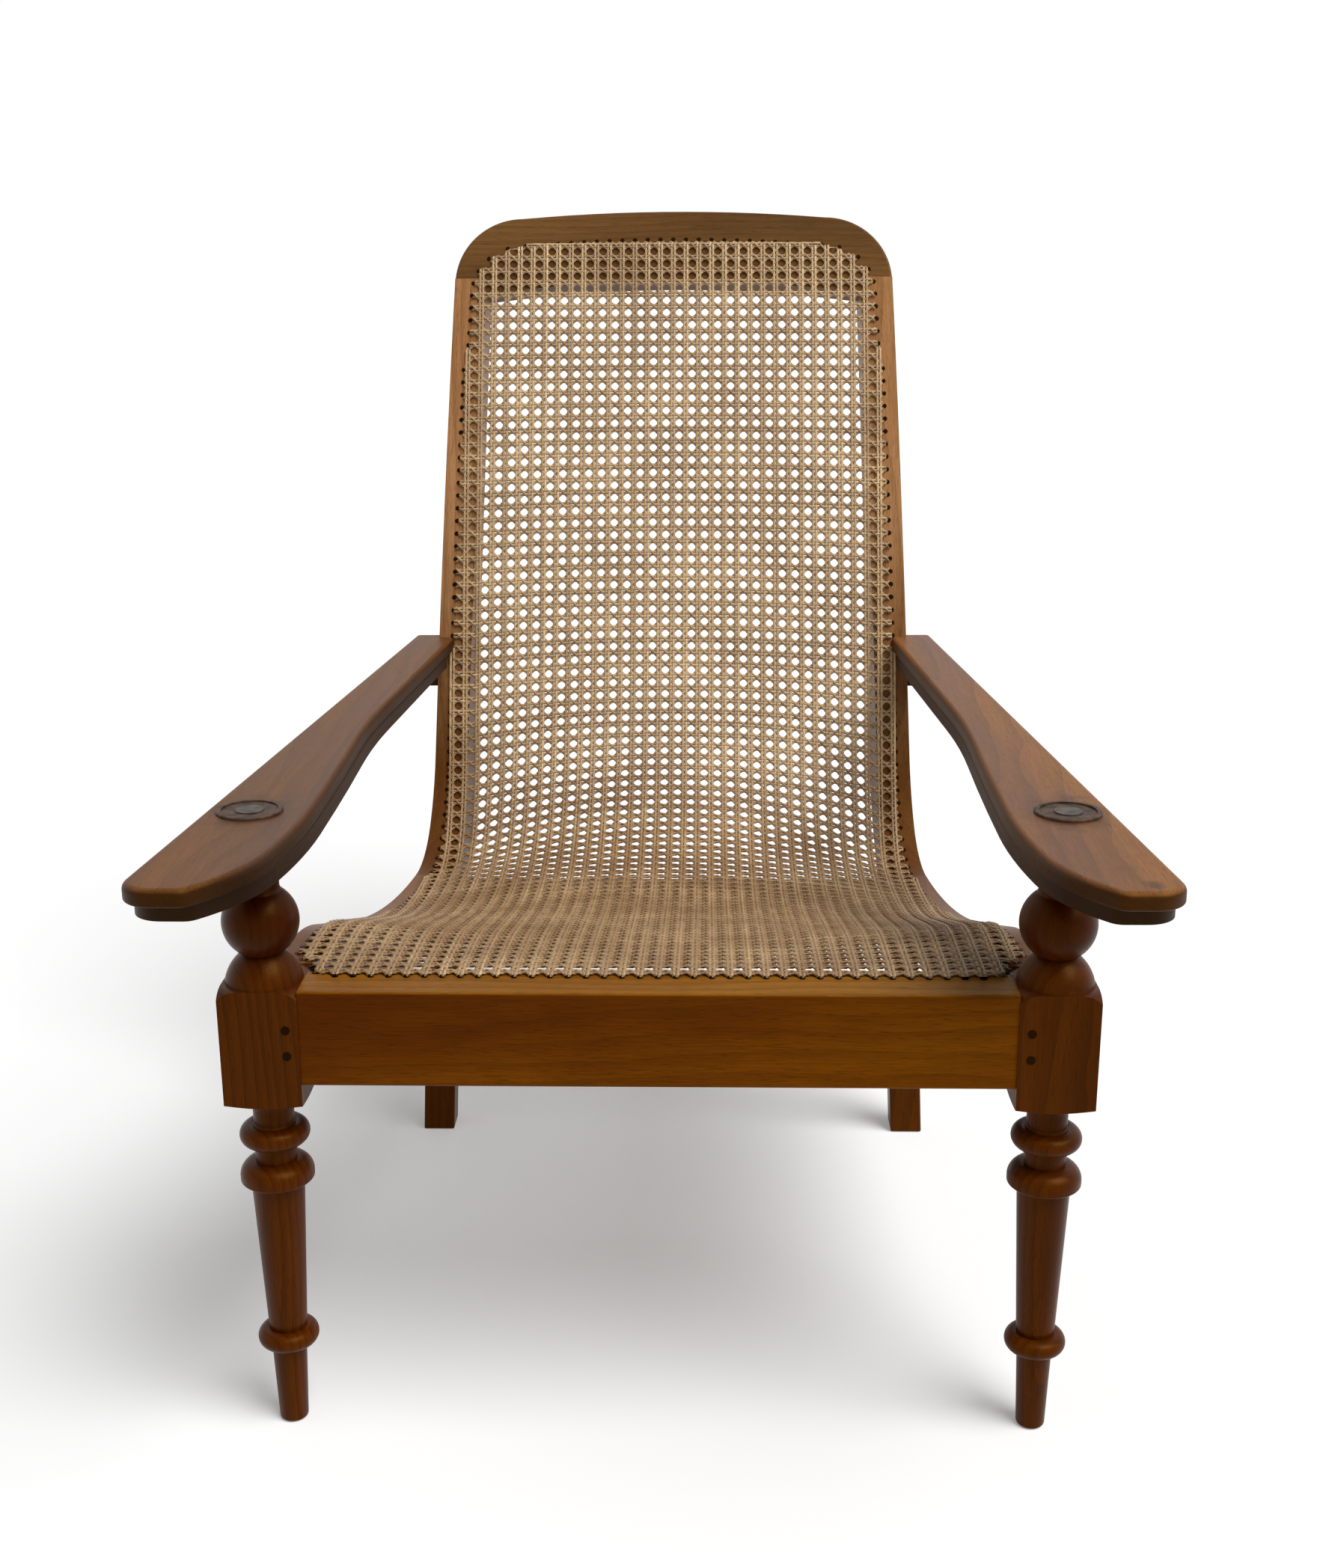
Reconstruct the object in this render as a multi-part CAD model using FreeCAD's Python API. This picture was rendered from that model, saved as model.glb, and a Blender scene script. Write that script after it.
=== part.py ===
import FreeCAD, Part
import math
import os

# Planters chair: a low wooden lounging chair with a cane seat and back in one sweep, and a leg
# rest under each arm that swings out on a pivot over the front leg.
# All sizes are millimetres. The chair is built with X to the viewer's right, Y towards the back
# from the axis of the front legs, and Z up from the floor. It faces -Y. One side is drawn, on +X,
# and mirrored. At the end all pieces move along Y so that the origin is under the middle of the
# chair's box.

# Front legs
FRONT_LEG_X = 313.0            # leg axis from the middle of the chair
BLOCK_SIDE = 63.0              # square block that takes the rails
BLOCK_BOTTOM = 302.0
BLOCK_TOP = 402.0
POMMEL_TOP = 12.0              # height over which the lathe rounds the block's upper corners
POMMEL_BOTTOM = 3.0
FOOT_TIP_RADIUS = 12.0
FOOT_TOP_RADIUS = 14.5
FOOT_TIP_ROUNDING = 3.0
ANKLE_Z = 80.5
ANKLE_RADIUS = 25.3
ANKLE_HALF_HEIGHT = 8.0
SHAFT_BOTTOM_RADIUS = 15.9
SHAFT_TOP_RADIUS = 21.7
SHAFT_BOTTOM_Z = 93.0
RING_BOTTOM_Z = 226.0          # a thin lip below, domed above
RING_TOP_Z = 244.0
RING_RADIUS = 30.0
RING_LIP_HEIGHT = 5.0
LOWER_NECK_RADIUS = 16.8
BEAD_Z = 267.5
BEAD_RADIUS = 28.5
BEAD_HALF_HEIGHT = 8.5
BEAD_EDGE_RADIUS = 17.5
UPPER_NECK_RADIUS = 16.5
UPPER_NECK_TOP_Z = 291.0
FLARE_RADIUS = 22.5            # where the upper neck meets the block
SHOULDER_RADIUS = 31.0         # turned dome on top of the block
NECK_Z = 425.0
NECK_RADIUS = 16.5
BALL_Z = 451.0
BALL_RADIUS = 30.5
BALL_TOP_Z = 475.5
COLLAR_RADIUS = 27.0           # seat of the leg rest at the leg's top
COLLAR_HEIGHT = 15.0

# Front rail
RAIL_TOP = 401.5
RAIL_BOTTOM = 321.7
RAIL_SETBACK = 1.5             # front face behind the face of the blocks
RAIL_THICKNESS = 50.0
RAIL_ARRIS = 3.0
RAIL_REAR_ROUNDING = 8.0       # the cane bends over this edge

# Side rails and back stiles: planks that converge towards the back
SIDE_X_AT_FRONT = 317.5        # outer face at the axis of the front legs
SIDE_TAPER = 0.0915            # the outer face comes in by this much per unit of depth
SIDE_THICKNESS = 36.0
SEAT_FLAT = 53.5               # level stretch behind the block
SEAT_BROW_RADIUS = 200.0
SEAT_FALL = 19.0               # degrees
SEAT_SLOPE = 106.0
SEAT_DISH_RADIUS = 783.0
BEND_LOW_RADIUS = 90.0
BEND_LOW_TURN = 50.0
BEND_HIGH_RADIUS = 200.0
BEND_HIGH_TURN = 23.0
BACK_RADIUS = 5600.0
BACK_TURN = 5.5
STILE_DEPTH = 48.0             # at the bend
SIDE_RAIL_BELLY = 9.0          # how far the underside bows below a straight line
EDGE_ROUNDING = 2.5

# Rear legs
REAR_LEG_SIDE = 34.0
REAR_LEG_SETBACK = 44.7        # leg's axis behind the joint of rail and stile
REAR_FOOT_X = 262.5
REAR_FOOT_CHAMFER = 1.8
REAR_LEG_HEEL = 8.0            # stile foot behind the leg

# Cross rail between the rear legs
CROSS_RAIL_Z = 268.0           # under the bend, across the joint of legs and stiles
CROSS_RAIL_HEIGHT = 44.0
CROSS_RAIL_THICKNESS = 22.0

# Crest rail
CREST_THICKNESS = 28.0
CREST_HEIGHT = 77.5            # above the seam with the stiles, in its own plane
CREST_CORNER_RADIUS = 75.0
CREST_ARCH = 7.5               # fall of the top edge from the middle to the corners
CREST_DROP_MIDDLE = 4.0        # how far the lower edge hangs below the seam
CREST_DROP_SIDE = 19.0
CREST_DROP_LAP = 2.0           # the lower edge is drawn into the stiles, then fitted to them

# Arms and leg rests
ARM_TOP = 540.5
ARM_THICKNESS = 13.5
ARM_FRONT = 183.0              # front edge, ahead of the leg axis
ARM_NOSE_X = 325.0             # inner end of the straight front edge
ARM_OUTER_X = 367.0            # outer edge, 156 ahead of the leg axis
ARM_OUTER_Y = 156.0
ARM_CORNER_RADIUS = 25.0
ARM_REAR_X = 286.5
ARM_REAR = 665.0
# Inner edge from the front edge to the stile: arcs as (radius, degrees of turn to the rear)
ARM_INNER = ((13.0, 47.8), (157.7, 32.8), (694.0, 9.3), (7100.0, 1.6), (1203.0, -6.1))
ARM_TOP_ROUNDING = 5.5
ARM_BOTTOM_ROUNDING = 2.0
LEAF_INSET = 1.0               # leg rest inside the arm's sides
LEAF_FRONT = 167.0             # front edge, ahead of the leg axis
LEAF_THICKNESS = 14.0
LEAF_TIP_THICKNESS = 11.5
LEAF_TAPER_START = 230.0
LEAF_REAR = 630.0
LEAF_TIP_ROUNDING = 10.0       # in plan, at the free end
LEAF_ROUNDING = 2.5            # of the upper arris

# Pivots
PIVOT_X = 315.5                # a little outside the axis of the leg
BOLT_RADIUS = 6.0
BOLT_IN_LEG = 70.0
BOLT_HEAD_RADIUS = 11.0
BOLT_HEAD_HEIGHT = 5.0
PIVOT_CLEARANCE = 0.08         # radial, leg rest on the bolt
WASHER_THICKNESS = 1.4
WASHER_RADIUS = 21.0
WASHER_GAP = 0.15              # running gap on each face of the leg rest
CAP_RADIUS = 26.0
CAP_RECESS = 2.0
CAP_RIM_HEIGHT = 2.2           # above the arm
CAP_RIM_WIDTH = 4.0
CAP_FLOOR_HEIGHT = 0.9         # above the arm, inside the rim

# Arm cleats
CLEAT_THICKNESS = 13.0
CLEAT_HEIGHT = 39.0
CLEAT_FRONT = 640.0
CLEAT_LENGTH = 42.0

# Joints
TENON_THICKNESS = 12.0
FRONT_TENON_LENGTH = 28.0
SIDE_TENON_LENGTH = 25.0
STILE_TENON_LENGTH = 30.0
LEG_TENON_LENGTH = 24.0
CROSS_TENON_LENGTH = 9.0       # it stops short of the leg's own tenon
TENON_SHOULDER = 12.0          # wood left above and below a rail's tenon
PEG_RADIUS = 3.5
SMALL_PEG_RADIUS = 3.0
PEG_PROUD = 0.6
PEG_INSET = 10.0               # peg from the shoulder of its tenon
PEG_SPACING = 22.0
CROSS_PEG_REACH = 28.0         # of the cross rail's pegs into its end
UPPER_PEG_Z = 370.0
SCREW_RADIUS = 2.2
SCREW_HEAD_RADIUS = 4.2
SCREW_HEAD_HEIGHT = 2.6
SCREW_IN_STILE = 24.0
SCREW_IN_ARM = 10.0

# Cane
CANE_THICKNESS = 2.5
CANE_FRONT_Y = 4.0             # front edge on the front rail
CANE_SIDE_MARGIN = 15.0        # bare wood beside the cane
CANE_TOP_MARGIN = 33.5         # bare wood above the cane
CANE_CREST_MARGIN = 19.3       # bare wood beside the cane on the crest
CANE_LEAN = 0.0536             # the cane widens by this much per unit of way down the back
CANE_CORNER_RADIUS = 55.0      # upper corners
CANE_CORNER_X = 271.0          # inner end of the slanted front corners
CANE_CORNER_SLANT = 0.565      # they run outwards by this much per unit of depth
CANE_LEG_GAP = 1.0             # beside and behind the front leg's block
CANE_BEDDING = 0.05            # the cane stands off the wood by this much
CANE_GRID_COLUMNS = 11         # the weave's many small holes stand as a coarser grid
CANE_GRID_ROWS = 27
CANE_GRID_EDGE = 6.0           # closed cane beside the side rails and stiles
CANE_GRID_OPEN = 0.55          # open share of each step of the grid, either way

Vector = FreeCAD.Vector
X_AXIS = Vector(1, 0, 0)
Y_AXIS = Vector(0, 1, 0)
Z_AXIS = Vector(0, 0, 1)
FAR = 1200.0                   # longer than the chair, for cutting tools

half_block = BLOCK_SIDE / 2
leaf_top = ARM_TOP - ARM_THICKNESS - WASHER_THICKNESS - WASHER_GAP
leg_top = leaf_top - LEAF_THICKNESS - WASHER_GAP - WASHER_THICKNESS
nodes = {}


def box(x_range, y_range, z_range):
    size = [high - low for low, high in (x_range, y_range, z_range)]
    return Part.makeBox(*size, Vector(x_range[0], y_range[0], z_range[0]))


def rod(radius, start, end):
    """A straight cylinder from start to end."""
    along = end - start
    return Part.makeCylinder(radius, along.Length, start, along)


def arc(start, middle, end):
    return Part.Arc(start, middle, end).toShape()


def solid_from_outline(edges, depth):
    """Extrude a closed flat outline along the vector depth."""
    return Part.Face(Part.Wire(Part.__sortEdges__(edges))).extrude(depth)


def mirrored(shape):
    return shape.mirror(Vector(0, 0, 0), X_AXIS)


def both(shape):
    """The shape and its mirror image as one group of solids."""
    return Part.makeCompound([mirrored(shape), shape])


def rounded(shape, radius, chosen):
    """Round the edges that the test picks."""
    edges = [edge for edge in shape.Edges if chosen(edge)]
    return shape.makeFillet(radius, edges)


def side_x(y):
    """Outer face of the side rail and stile at depth y."""
    return SIDE_X_AT_FRONT - SIDE_TAPER * y


def side_middle_x(y):
    return side_x(y) - SIDE_THICKNESS / 2


def side_slab(outside, inside):
    """The space between two upright planes beside the outer face of the side."""
    near, far = -FAR, FAR
    corners = [
        Vector(side_x(near) + outside, near, -FAR),
        Vector(side_x(far) + outside, far, -FAR),
        Vector(side_x(far) - inside, far, -FAR),
        Vector(side_x(near) - inside, near, -FAR),
    ]
    return Part.Face(Part.makePolygon(corners + corners[:1])).extrude(Vector(0, 0, 2 * FAR))


# The sweep of seat and back, seen from the side


def heading_vector(degrees):
    angle = math.radians(degrees)
    return Vector(0, math.cos(angle), math.sin(angle))


def normal_vector(degrees):
    """Square to the sweep, towards its underside and rear."""
    angle = math.radians(degrees)
    return Vector(0, math.sin(angle), -math.cos(angle))


def walk(point, heading, radius, turn):
    """End and middle of an arc that leaves point at this heading and turns by turn degrees."""
    side = 1 if turn > 0 else -1
    centre = point - normal_vector(heading) * radius * side
    middle = centre + normal_vector(heading + turn / 2) * radius * side
    end = centre + normal_vector(heading + turn) * radius * side
    return middle, end


def sweep_stations():
    """Points, arc middles and headings of the sweep, from the block to the crest's seam."""
    stations = {}
    start = Vector(0, half_block, RAIL_TOP)
    brow = start + Y_AXIS * SEAT_FLAT
    brow_middle, slope = walk(brow, 0, SEAT_BROW_RADIUS, -SEAT_FALL)
    dish = slope + heading_vector(-SEAT_FALL) * SEAT_SLOPE
    dish_middle, bend = walk(dish, -SEAT_FALL, SEAT_DISH_RADIUS, SEAT_FALL)
    bend_middle, knee = walk(bend, 0, BEND_LOW_RADIUS, BEND_LOW_TURN)
    knee_middle, back = walk(knee, BEND_LOW_TURN, BEND_HIGH_RADIUS, BEND_HIGH_TURN)
    back_heading = BEND_LOW_TURN + BEND_HIGH_TURN
    back_middle, seam = walk(back, back_heading, BACK_RADIUS, -BACK_TURN)
    stations["points"] = [start, brow, slope, dish, bend, knee, back, seam]
    stations["middles"] = [None, brow_middle, None, dish_middle, bend_middle, knee_middle,
                           back_middle]
    stations["headings"] = [0, 0, -SEAT_FALL, -SEAT_FALL, 0, BEND_LOW_TURN, back_heading,
                            back_heading - BACK_TURN]
    return stations


sweep = sweep_stations()
bend_at, knee_at, back_at, seam_at = range(4, 8)
bend_point = sweep["points"][bend_at]
seam_point = sweep["points"][seam_at]
seam_heading = sweep["headings"][seam_at]
crest_rake = 90 - seam_heading
stile_foot_z = bend_point.z - STILE_DEPTH
rear_leg_y = bend_point.y + REAR_LEG_SETBACK


def sweep_edges(first, last, offset=0.0):
    """Edges of the sweep between two stations, moved square to it by offset."""
    edges = []
    for index in range(first, last):
        start = sweep["points"][index] + normal_vector(sweep["headings"][index]) * offset
        end = sweep["points"][index + 1] + normal_vector(sweep["headings"][index + 1]) * offset
        middle = sweep["middles"][index]
        if middle is None:
            edges.append(Part.makeLine(start, end))
        else:
            mean = (sweep["headings"][index] + sweep["headings"][index + 1]) / 2
            edges.append(arc(start, middle + normal_vector(mean) * offset, end))
    return edges


# Front legs: turned, with a square block left for the rails


def turned_leg_outline():
    """Half section of the turned parts, radius against height."""
    def at(radius, z):
        return Vector(radius, 0, z)

    ankle_low = ANKLE_Z - ANKLE_HALF_HEIGHT
    ankle_high = ANKLE_Z + ANKLE_HALF_HEIGHT
    bead_low = BEAD_Z - BEAD_HALF_HEIGHT
    bead_high = BEAD_Z + BEAD_HALF_HEIGHT
    lip_low = RING_BOTTOM_Z + 2.0
    lip_high = RING_BOTTOM_Z + RING_LIP_HEIGHT
    ring_reach = RING_RADIUS - LOWER_NECK_RADIUS
    ring_rise = RING_TOP_Z - lip_high
    tip = FOOT_TIP_RADIUS - FOOT_TIP_ROUNDING
    dome_z = (BLOCK_TOP + NECK_Z) / 2
    dome_radius = (SHOULDER_RADIUS + NECK_RADIUS) / 2 + 3.0
    collar_low = leg_top - COLLAR_HEIGHT
    edges = [
        Part.makeLine(at(0, 0), at(tip, 0)),
        arc(at(tip, 0), at(tip + 0.7 * FOOT_TIP_ROUNDING, 0.3 * FOOT_TIP_ROUNDING),
            at(FOOT_TIP_RADIUS, FOOT_TIP_ROUNDING)),
        Part.makeLine(at(FOOT_TIP_RADIUS, FOOT_TIP_ROUNDING), at(FOOT_TOP_RADIUS, ankle_low)),
        arc(at(FOOT_TOP_RADIUS, ankle_low), at(ANKLE_RADIUS, ANKLE_Z),
            at(FOOT_TOP_RADIUS + 0.5, ankle_high)),
        Part.makeLine(at(FOOT_TOP_RADIUS + 0.5, ankle_high),
                      at(SHAFT_BOTTOM_RADIUS, SHAFT_BOTTOM_Z)),
        Part.makeLine(at(SHAFT_BOTTOM_RADIUS, SHAFT_BOTTOM_Z),
                      at(SHAFT_TOP_RADIUS, RING_BOTTOM_Z)),
        Part.makeLine(at(SHAFT_TOP_RADIUS, RING_BOTTOM_Z),
                      at(RING_RADIUS - 2.0, RING_BOTTOM_Z)),
        arc(at(RING_RADIUS - 2.0, RING_BOTTOM_Z), at(RING_RADIUS - 0.6, RING_BOTTOM_Z + 0.6),
            at(RING_RADIUS, lip_low)),
        Part.makeLine(at(RING_RADIUS, lip_low), at(RING_RADIUS, lip_high)),
        arc(at(RING_RADIUS, lip_high),
            at(LOWER_NECK_RADIUS + 0.72 * ring_reach, lip_high + 0.72 * ring_rise),
            at(LOWER_NECK_RADIUS, RING_TOP_Z)),
        Part.makeLine(at(LOWER_NECK_RADIUS, RING_TOP_Z), at(BEAD_EDGE_RADIUS, bead_low)),
        arc(at(BEAD_EDGE_RADIUS, bead_low), at(BEAD_RADIUS, BEAD_Z),
            at(BEAD_EDGE_RADIUS, bead_high)),
        Part.makeLine(at(BEAD_EDGE_RADIUS, bead_high), at(UPPER_NECK_RADIUS, bead_high + 2.0)),
        Part.makeLine(at(UPPER_NECK_RADIUS, bead_high + 2.0),
                      at(UPPER_NECK_RADIUS, UPPER_NECK_TOP_Z)),
        arc(at(UPPER_NECK_RADIUS, UPPER_NECK_TOP_Z),
            at(UPPER_NECK_RADIUS + 1.6, (UPPER_NECK_TOP_Z + BLOCK_BOTTOM) / 2 + 0.8),
            at(FLARE_RADIUS, BLOCK_BOTTOM)),
        Part.makeLine(at(FLARE_RADIUS, BLOCK_BOTTOM), at(SHOULDER_RADIUS, BLOCK_TOP)),
        arc(at(SHOULDER_RADIUS, BLOCK_TOP), at(dome_radius, dome_z), at(NECK_RADIUS, NECK_Z)),
        arc(at(NECK_RADIUS, NECK_Z), at(BALL_RADIUS, BALL_Z), at(NECK_RADIUS + 1.5, BALL_TOP_Z)),
        Part.makeLine(at(NECK_RADIUS + 1.5, BALL_TOP_Z), at(NECK_RADIUS, BALL_TOP_Z + 3.0)),
        Part.makeLine(at(NECK_RADIUS, BALL_TOP_Z + 3.0), at(NECK_RADIUS, collar_low - 6.0)),
        arc(at(NECK_RADIUS, collar_low - 6.0), at(NECK_RADIUS + 3.0, collar_low - 1.8),
            at(COLLAR_RADIUS - 2.0, collar_low)),
        arc(at(COLLAR_RADIUS - 2.0, collar_low), at(COLLAR_RADIUS, (collar_low + leg_top) / 2),
            at(COLLAR_RADIUS - 2.0, leg_top)),
        Part.makeLine(at(COLLAR_RADIUS - 2.0, leg_top), at(0, leg_top)),
        Part.makeLine(at(0, leg_top), at(0, 0)),
    ]
    return edges


def pommel_envelope():
    """Turned space that rounds the block's corners off at both ends."""
    corner = half_block * math.sqrt(2) + 1.0
    waist = half_block - 1.0

    def at(radius, z):
        return Vector(radius, 0, z)

    top_middle = at(waist + 0.76 * (corner - waist), BLOCK_TOP - 0.3 * POMMEL_TOP)
    edges = [
        Part.makeLine(at(0, BLOCK_BOTTOM), at(waist, BLOCK_BOTTOM)),
        Part.makeLine(at(waist, BLOCK_BOTTOM), at(corner, BLOCK_BOTTOM + POMMEL_BOTTOM)),
        Part.makeLine(at(corner, BLOCK_BOTTOM + POMMEL_BOTTOM), at(corner, BLOCK_TOP - POMMEL_TOP)),
        arc(at(corner, BLOCK_TOP - POMMEL_TOP), top_middle, at(waist, BLOCK_TOP)),
        Part.makeLine(at(waist, BLOCK_TOP), at(0, BLOCK_TOP)),
        Part.makeLine(at(0, BLOCK_TOP), at(0, BLOCK_BOTTOM)),
    ]
    section = Part.Face(Part.Wire(edges))
    return section.revolve(Vector(0, 0, 0), Z_AXIS, 360)


def front_leg():
    outline = Part.Face(Part.Wire(turned_leg_outline()))
    turned = outline.revolve(Vector(0, 0, 0), Z_AXIS, 360)
    across = (-half_block, half_block)
    block = box(across, across, (BLOCK_BOTTOM, BLOCK_TOP)).common(pommel_envelope())
    leg = turned.fuse(block).removeSplitter()
    leg.translate(Vector(FRONT_LEG_X, 0, 0))
    return leg.cut(pivot_rod(BOLT_RADIUS, leg_top - BOLT_IN_LEG, FAR))


# Tenons, each used once to make the piece and once to cut its mortise


def front_rail_tenon():
    inner = FRONT_LEG_X - half_block
    middle_y = -half_block + RAIL_SETBACK + RAIL_THICKNESS / 2
    return box((inner, inner + FRONT_TENON_LENGTH),
               (middle_y - TENON_THICKNESS / 2, middle_y + TENON_THICKNESS / 2),
               (RAIL_BOTTOM + TENON_SHOULDER, BLOCK_TOP - TENON_SHOULDER))


def side_rail_front_tenon():
    middle_x = side_middle_x(half_block)
    return box((middle_x - TENON_THICKNESS / 2, middle_x + TENON_THICKNESS / 2),
               (half_block - SIDE_TENON_LENGTH, half_block),
               (RAIL_BOTTOM + TENON_SHOULDER, BLOCK_TOP - TENON_SHOULDER))


def side_rail_rear_tenon():
    y = bend_point.y
    middle_x = side_middle_x(y + STILE_TENON_LENGTH / 2)
    return box((middle_x - TENON_THICKNESS / 2, middle_x + TENON_THICKNESS / 2),
               (y, y + STILE_TENON_LENGTH - 2.0),
               (stile_foot_z + TENON_SHOULDER, bend_point.z - TENON_SHOULDER))


def rear_leg_tenon():
    middle_x = side_middle_x(rear_leg_y)
    return box((middle_x - TENON_THICKNESS / 2, middle_x + TENON_THICKNESS / 2),
               (rear_leg_y - REAR_LEG_SIDE / 2 + 7.0, rear_leg_y + REAR_LEG_SIDE / 2 - 7.0),
               (stile_foot_z, stile_foot_z + LEG_TENON_LENGTH))


def cross_rail_tenon():
    inner = rear_leg_x(CROSS_RAIL_Z) - REAR_LEG_SIDE / 2
    return box((inner - 8.0, inner + CROSS_TENON_LENGTH),
               (rear_leg_y - TENON_THICKNESS / 2, rear_leg_y + TENON_THICKNESS / 2),
               (CROSS_RAIL_Z - CROSS_RAIL_HEIGHT / 2 + 8.0,
                CROSS_RAIL_Z + CROSS_RAIL_HEIGHT / 2 - 8.0))


# Side rails, stiles and rear legs


def front_rail():
    end = FRONT_LEG_X - half_block
    front = -half_block + RAIL_SETBACK
    rail = box((-end, end), (front, front + RAIL_THICKNESS), (RAIL_BOTTOM, RAIL_TOP))

    def lengthwise(edge, y, z):
        middle = edge.CenterOfMass
        return abs(middle.x) < 1 and abs(middle.y - y) < 0.1 and abs(middle.z - z) < 0.1

    rail = rounded(rail, RAIL_REAR_ROUNDING,
                   lambda edge: lengthwise(edge, front + RAIL_THICKNESS, RAIL_TOP))
    rail = rounded(rail, RAIL_ARRIS,
                   lambda edge: lengthwise(edge, front, RAIL_TOP)
                   or lengthwise(edge, front, RAIL_BOTTOM))
    return rail.fuse([front_rail_tenon(), mirrored(front_rail_tenon())]).removeSplitter()


def across_chair(edges):
    """Extrude an outline drawn in the side view across one half of the chair."""
    return solid_from_outline(edges, X_AXIS * FAR)


def side_rail():
    start = sweep["points"][0]
    front_low = Vector(0, start.y, RAIL_BOTTOM)
    rear_low = Vector(0, bend_point.y, stile_foot_z)
    middle = (front_low + rear_low) * 0.5 - Z_AXIS * SIDE_RAIL_BELLY
    outline = sweep_edges(0, bend_at) + [
        Part.makeLine(bend_point, rear_low),
        arc(rear_low, middle, front_low),
        Part.makeLine(front_low, start),
    ]
    rail = across_chair(outline).common(side_slab(0, SIDE_THICKNESS))
    return rail.fuse([side_rail_front_tenon(), side_rail_rear_tenon()]).removeSplitter()


def stile_tenon():
    """Tenon on the stile's top, in the crest's plane."""
    middle_x = side_middle_x(seam_point.y)
    half_width = SIDE_THICKNESS / 2 - 7.0
    tenon = box((middle_x - half_width, middle_x + half_width),
                ((CREST_THICKNESS - TENON_THICKNESS) / 2, (CREST_THICKNESS + TENON_THICKNESS) / 2),
                (0, STILE_TENON_LENGTH))
    return in_crest_plane(tenon)


def back_stile():
    knee, back = sweep["points"][knee_at], sweep["points"][back_at]
    headings = sweep["headings"]
    knee_rear = knee + normal_vector(headings[knee_at]) * STILE_DEPTH
    back_rear = back + normal_vector(headings[back_at]) * STILE_DEPTH
    seam_rear = seam_point + normal_vector(seam_heading) * CREST_THICKNESS
    mean_heading = (headings[back_at] + seam_heading) / 2
    mean_depth = (STILE_DEPTH + CREST_THICKNESS) / 2 + 1.5
    middle_rear = sweep["middles"][back_at] + normal_vector(mean_heading) * mean_depth
    heel = Vector(0, rear_leg_y + REAR_LEG_SIDE / 2 + REAR_LEG_HEEL, stile_foot_z)
    foot = Vector(0, bend_point.y, stile_foot_z)
    outline = sweep_edges(bend_at, seam_at) + [
        Part.makeLine(seam_point, seam_rear),
        arc(seam_rear, middle_rear, back_rear),
        sweep_edges(knee_at, back_at, STILE_DEPTH)[0],
        Part.makeLine(knee_rear, heel),
        Part.makeLine(heel, foot),
        Part.makeLine(foot, bend_point),
    ]
    stile = across_chair(outline).common(side_slab(0, SIDE_THICKNESS))
    return stile.fuse(stile_tenon()).removeSplitter()


def rear_leg_x(z):
    """Middle of the rear leg at height z: it splays outwards to the foot."""
    top_x = side_middle_x(rear_leg_y)
    return REAR_FOOT_X + (top_x - REAR_FOOT_X) * z / stile_foot_z


def rear_leg():
    half = REAR_LEG_SIDE / 2
    corners = [
        Vector(rear_leg_x(0) - half, rear_leg_y - half, 0),
        Vector(rear_leg_x(0) + half, rear_leg_y - half, 0),
        Vector(rear_leg_x(stile_foot_z) + half, rear_leg_y - half, stile_foot_z),
        Vector(rear_leg_x(stile_foot_z) - half, rear_leg_y - half, stile_foot_z),
    ]
    leg = Part.Face(Part.makePolygon(corners + corners[:1])).extrude(Y_AXIS * REAR_LEG_SIDE)
    foot_edges = [edge for edge in leg.Edges if edge.CenterOfMass.z < 0.1]
    leg = leg.makeChamfer(REAR_FOOT_CHAMFER, foot_edges)
    upright = [edge for edge in leg.Edges if edge.Length > 0.8 * stile_foot_z]
    leg = leg.makeFillet(EDGE_ROUNDING, upright)
    return leg.fuse(rear_leg_tenon()).removeSplitter()


def cross_rail():
    reach = rear_leg_x(CROSS_RAIL_Z)
    rail = box((-reach, reach),
               (rear_leg_y - CROSS_RAIL_THICKNESS / 2, rear_leg_y + CROSS_RAIL_THICKNESS / 2),
               (CROSS_RAIL_Z - CROSS_RAIL_HEIGHT / 2, CROSS_RAIL_Z + CROSS_RAIL_HEIGHT / 2))
    rail = rail.cut([rear_leg(), mirrored(rear_leg()), back_stile(), mirrored(back_stile())])
    rail = max(rail.Solids, key=lambda solid: solid.Volume)
    return rail.fuse([cross_rail_tenon(), mirrored(cross_rail_tenon())]).removeSplitter()


# Crest rail


def in_crest_plane(shape):
    """Lean a shape that was drawn upright on the crest's seam."""
    placed = shape.copy()
    placed.rotate(Vector(0, 0, 0), X_AXIS, -crest_rake)
    placed.translate(seam_point)
    return placed


def crest_top_edges(side_inset, top_inset, radius, bottom, lean=0.0):
    """Upper outline of the crest or, with insets, of the cane on it, drawn upright."""
    half_width = side_x(seam_point.y) - side_inset
    top = CREST_HEIGHT - top_inset
    centre = Vector(half_width - radius, 0, top - CREST_ARCH - radius)
    shoulder = centre + Z_AXIS * radius
    drop = math.asin(min(0, centre.z - bottom) / radius)
    hip = centre + Vector(math.cos(drop), 0, -math.sin(drop)) * radius
    halfway = (math.pi / 2 - drop) / 2
    corner = centre + Vector(math.cos(halfway), 0, math.sin(halfway)) * radius
    foot = Vector(hip.x + lean * (hip.z - bottom), 0, bottom)

    def flipped(point):
        return Vector(-point.x, 0, point.z)

    edges = [
        arc(flipped(shoulder), Vector(0, 0, top), shoulder),
        arc(shoulder, corner, hip),
        arc(flipped(hip), flipped(corner), flipped(shoulder)),
    ]
    if drop == 0:
        edges.append(Part.makeLine(hip, foot))
        edges.append(Part.makeLine(flipped(foot), flipped(hip)))
    return edges, flipped(foot), foot


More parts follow.
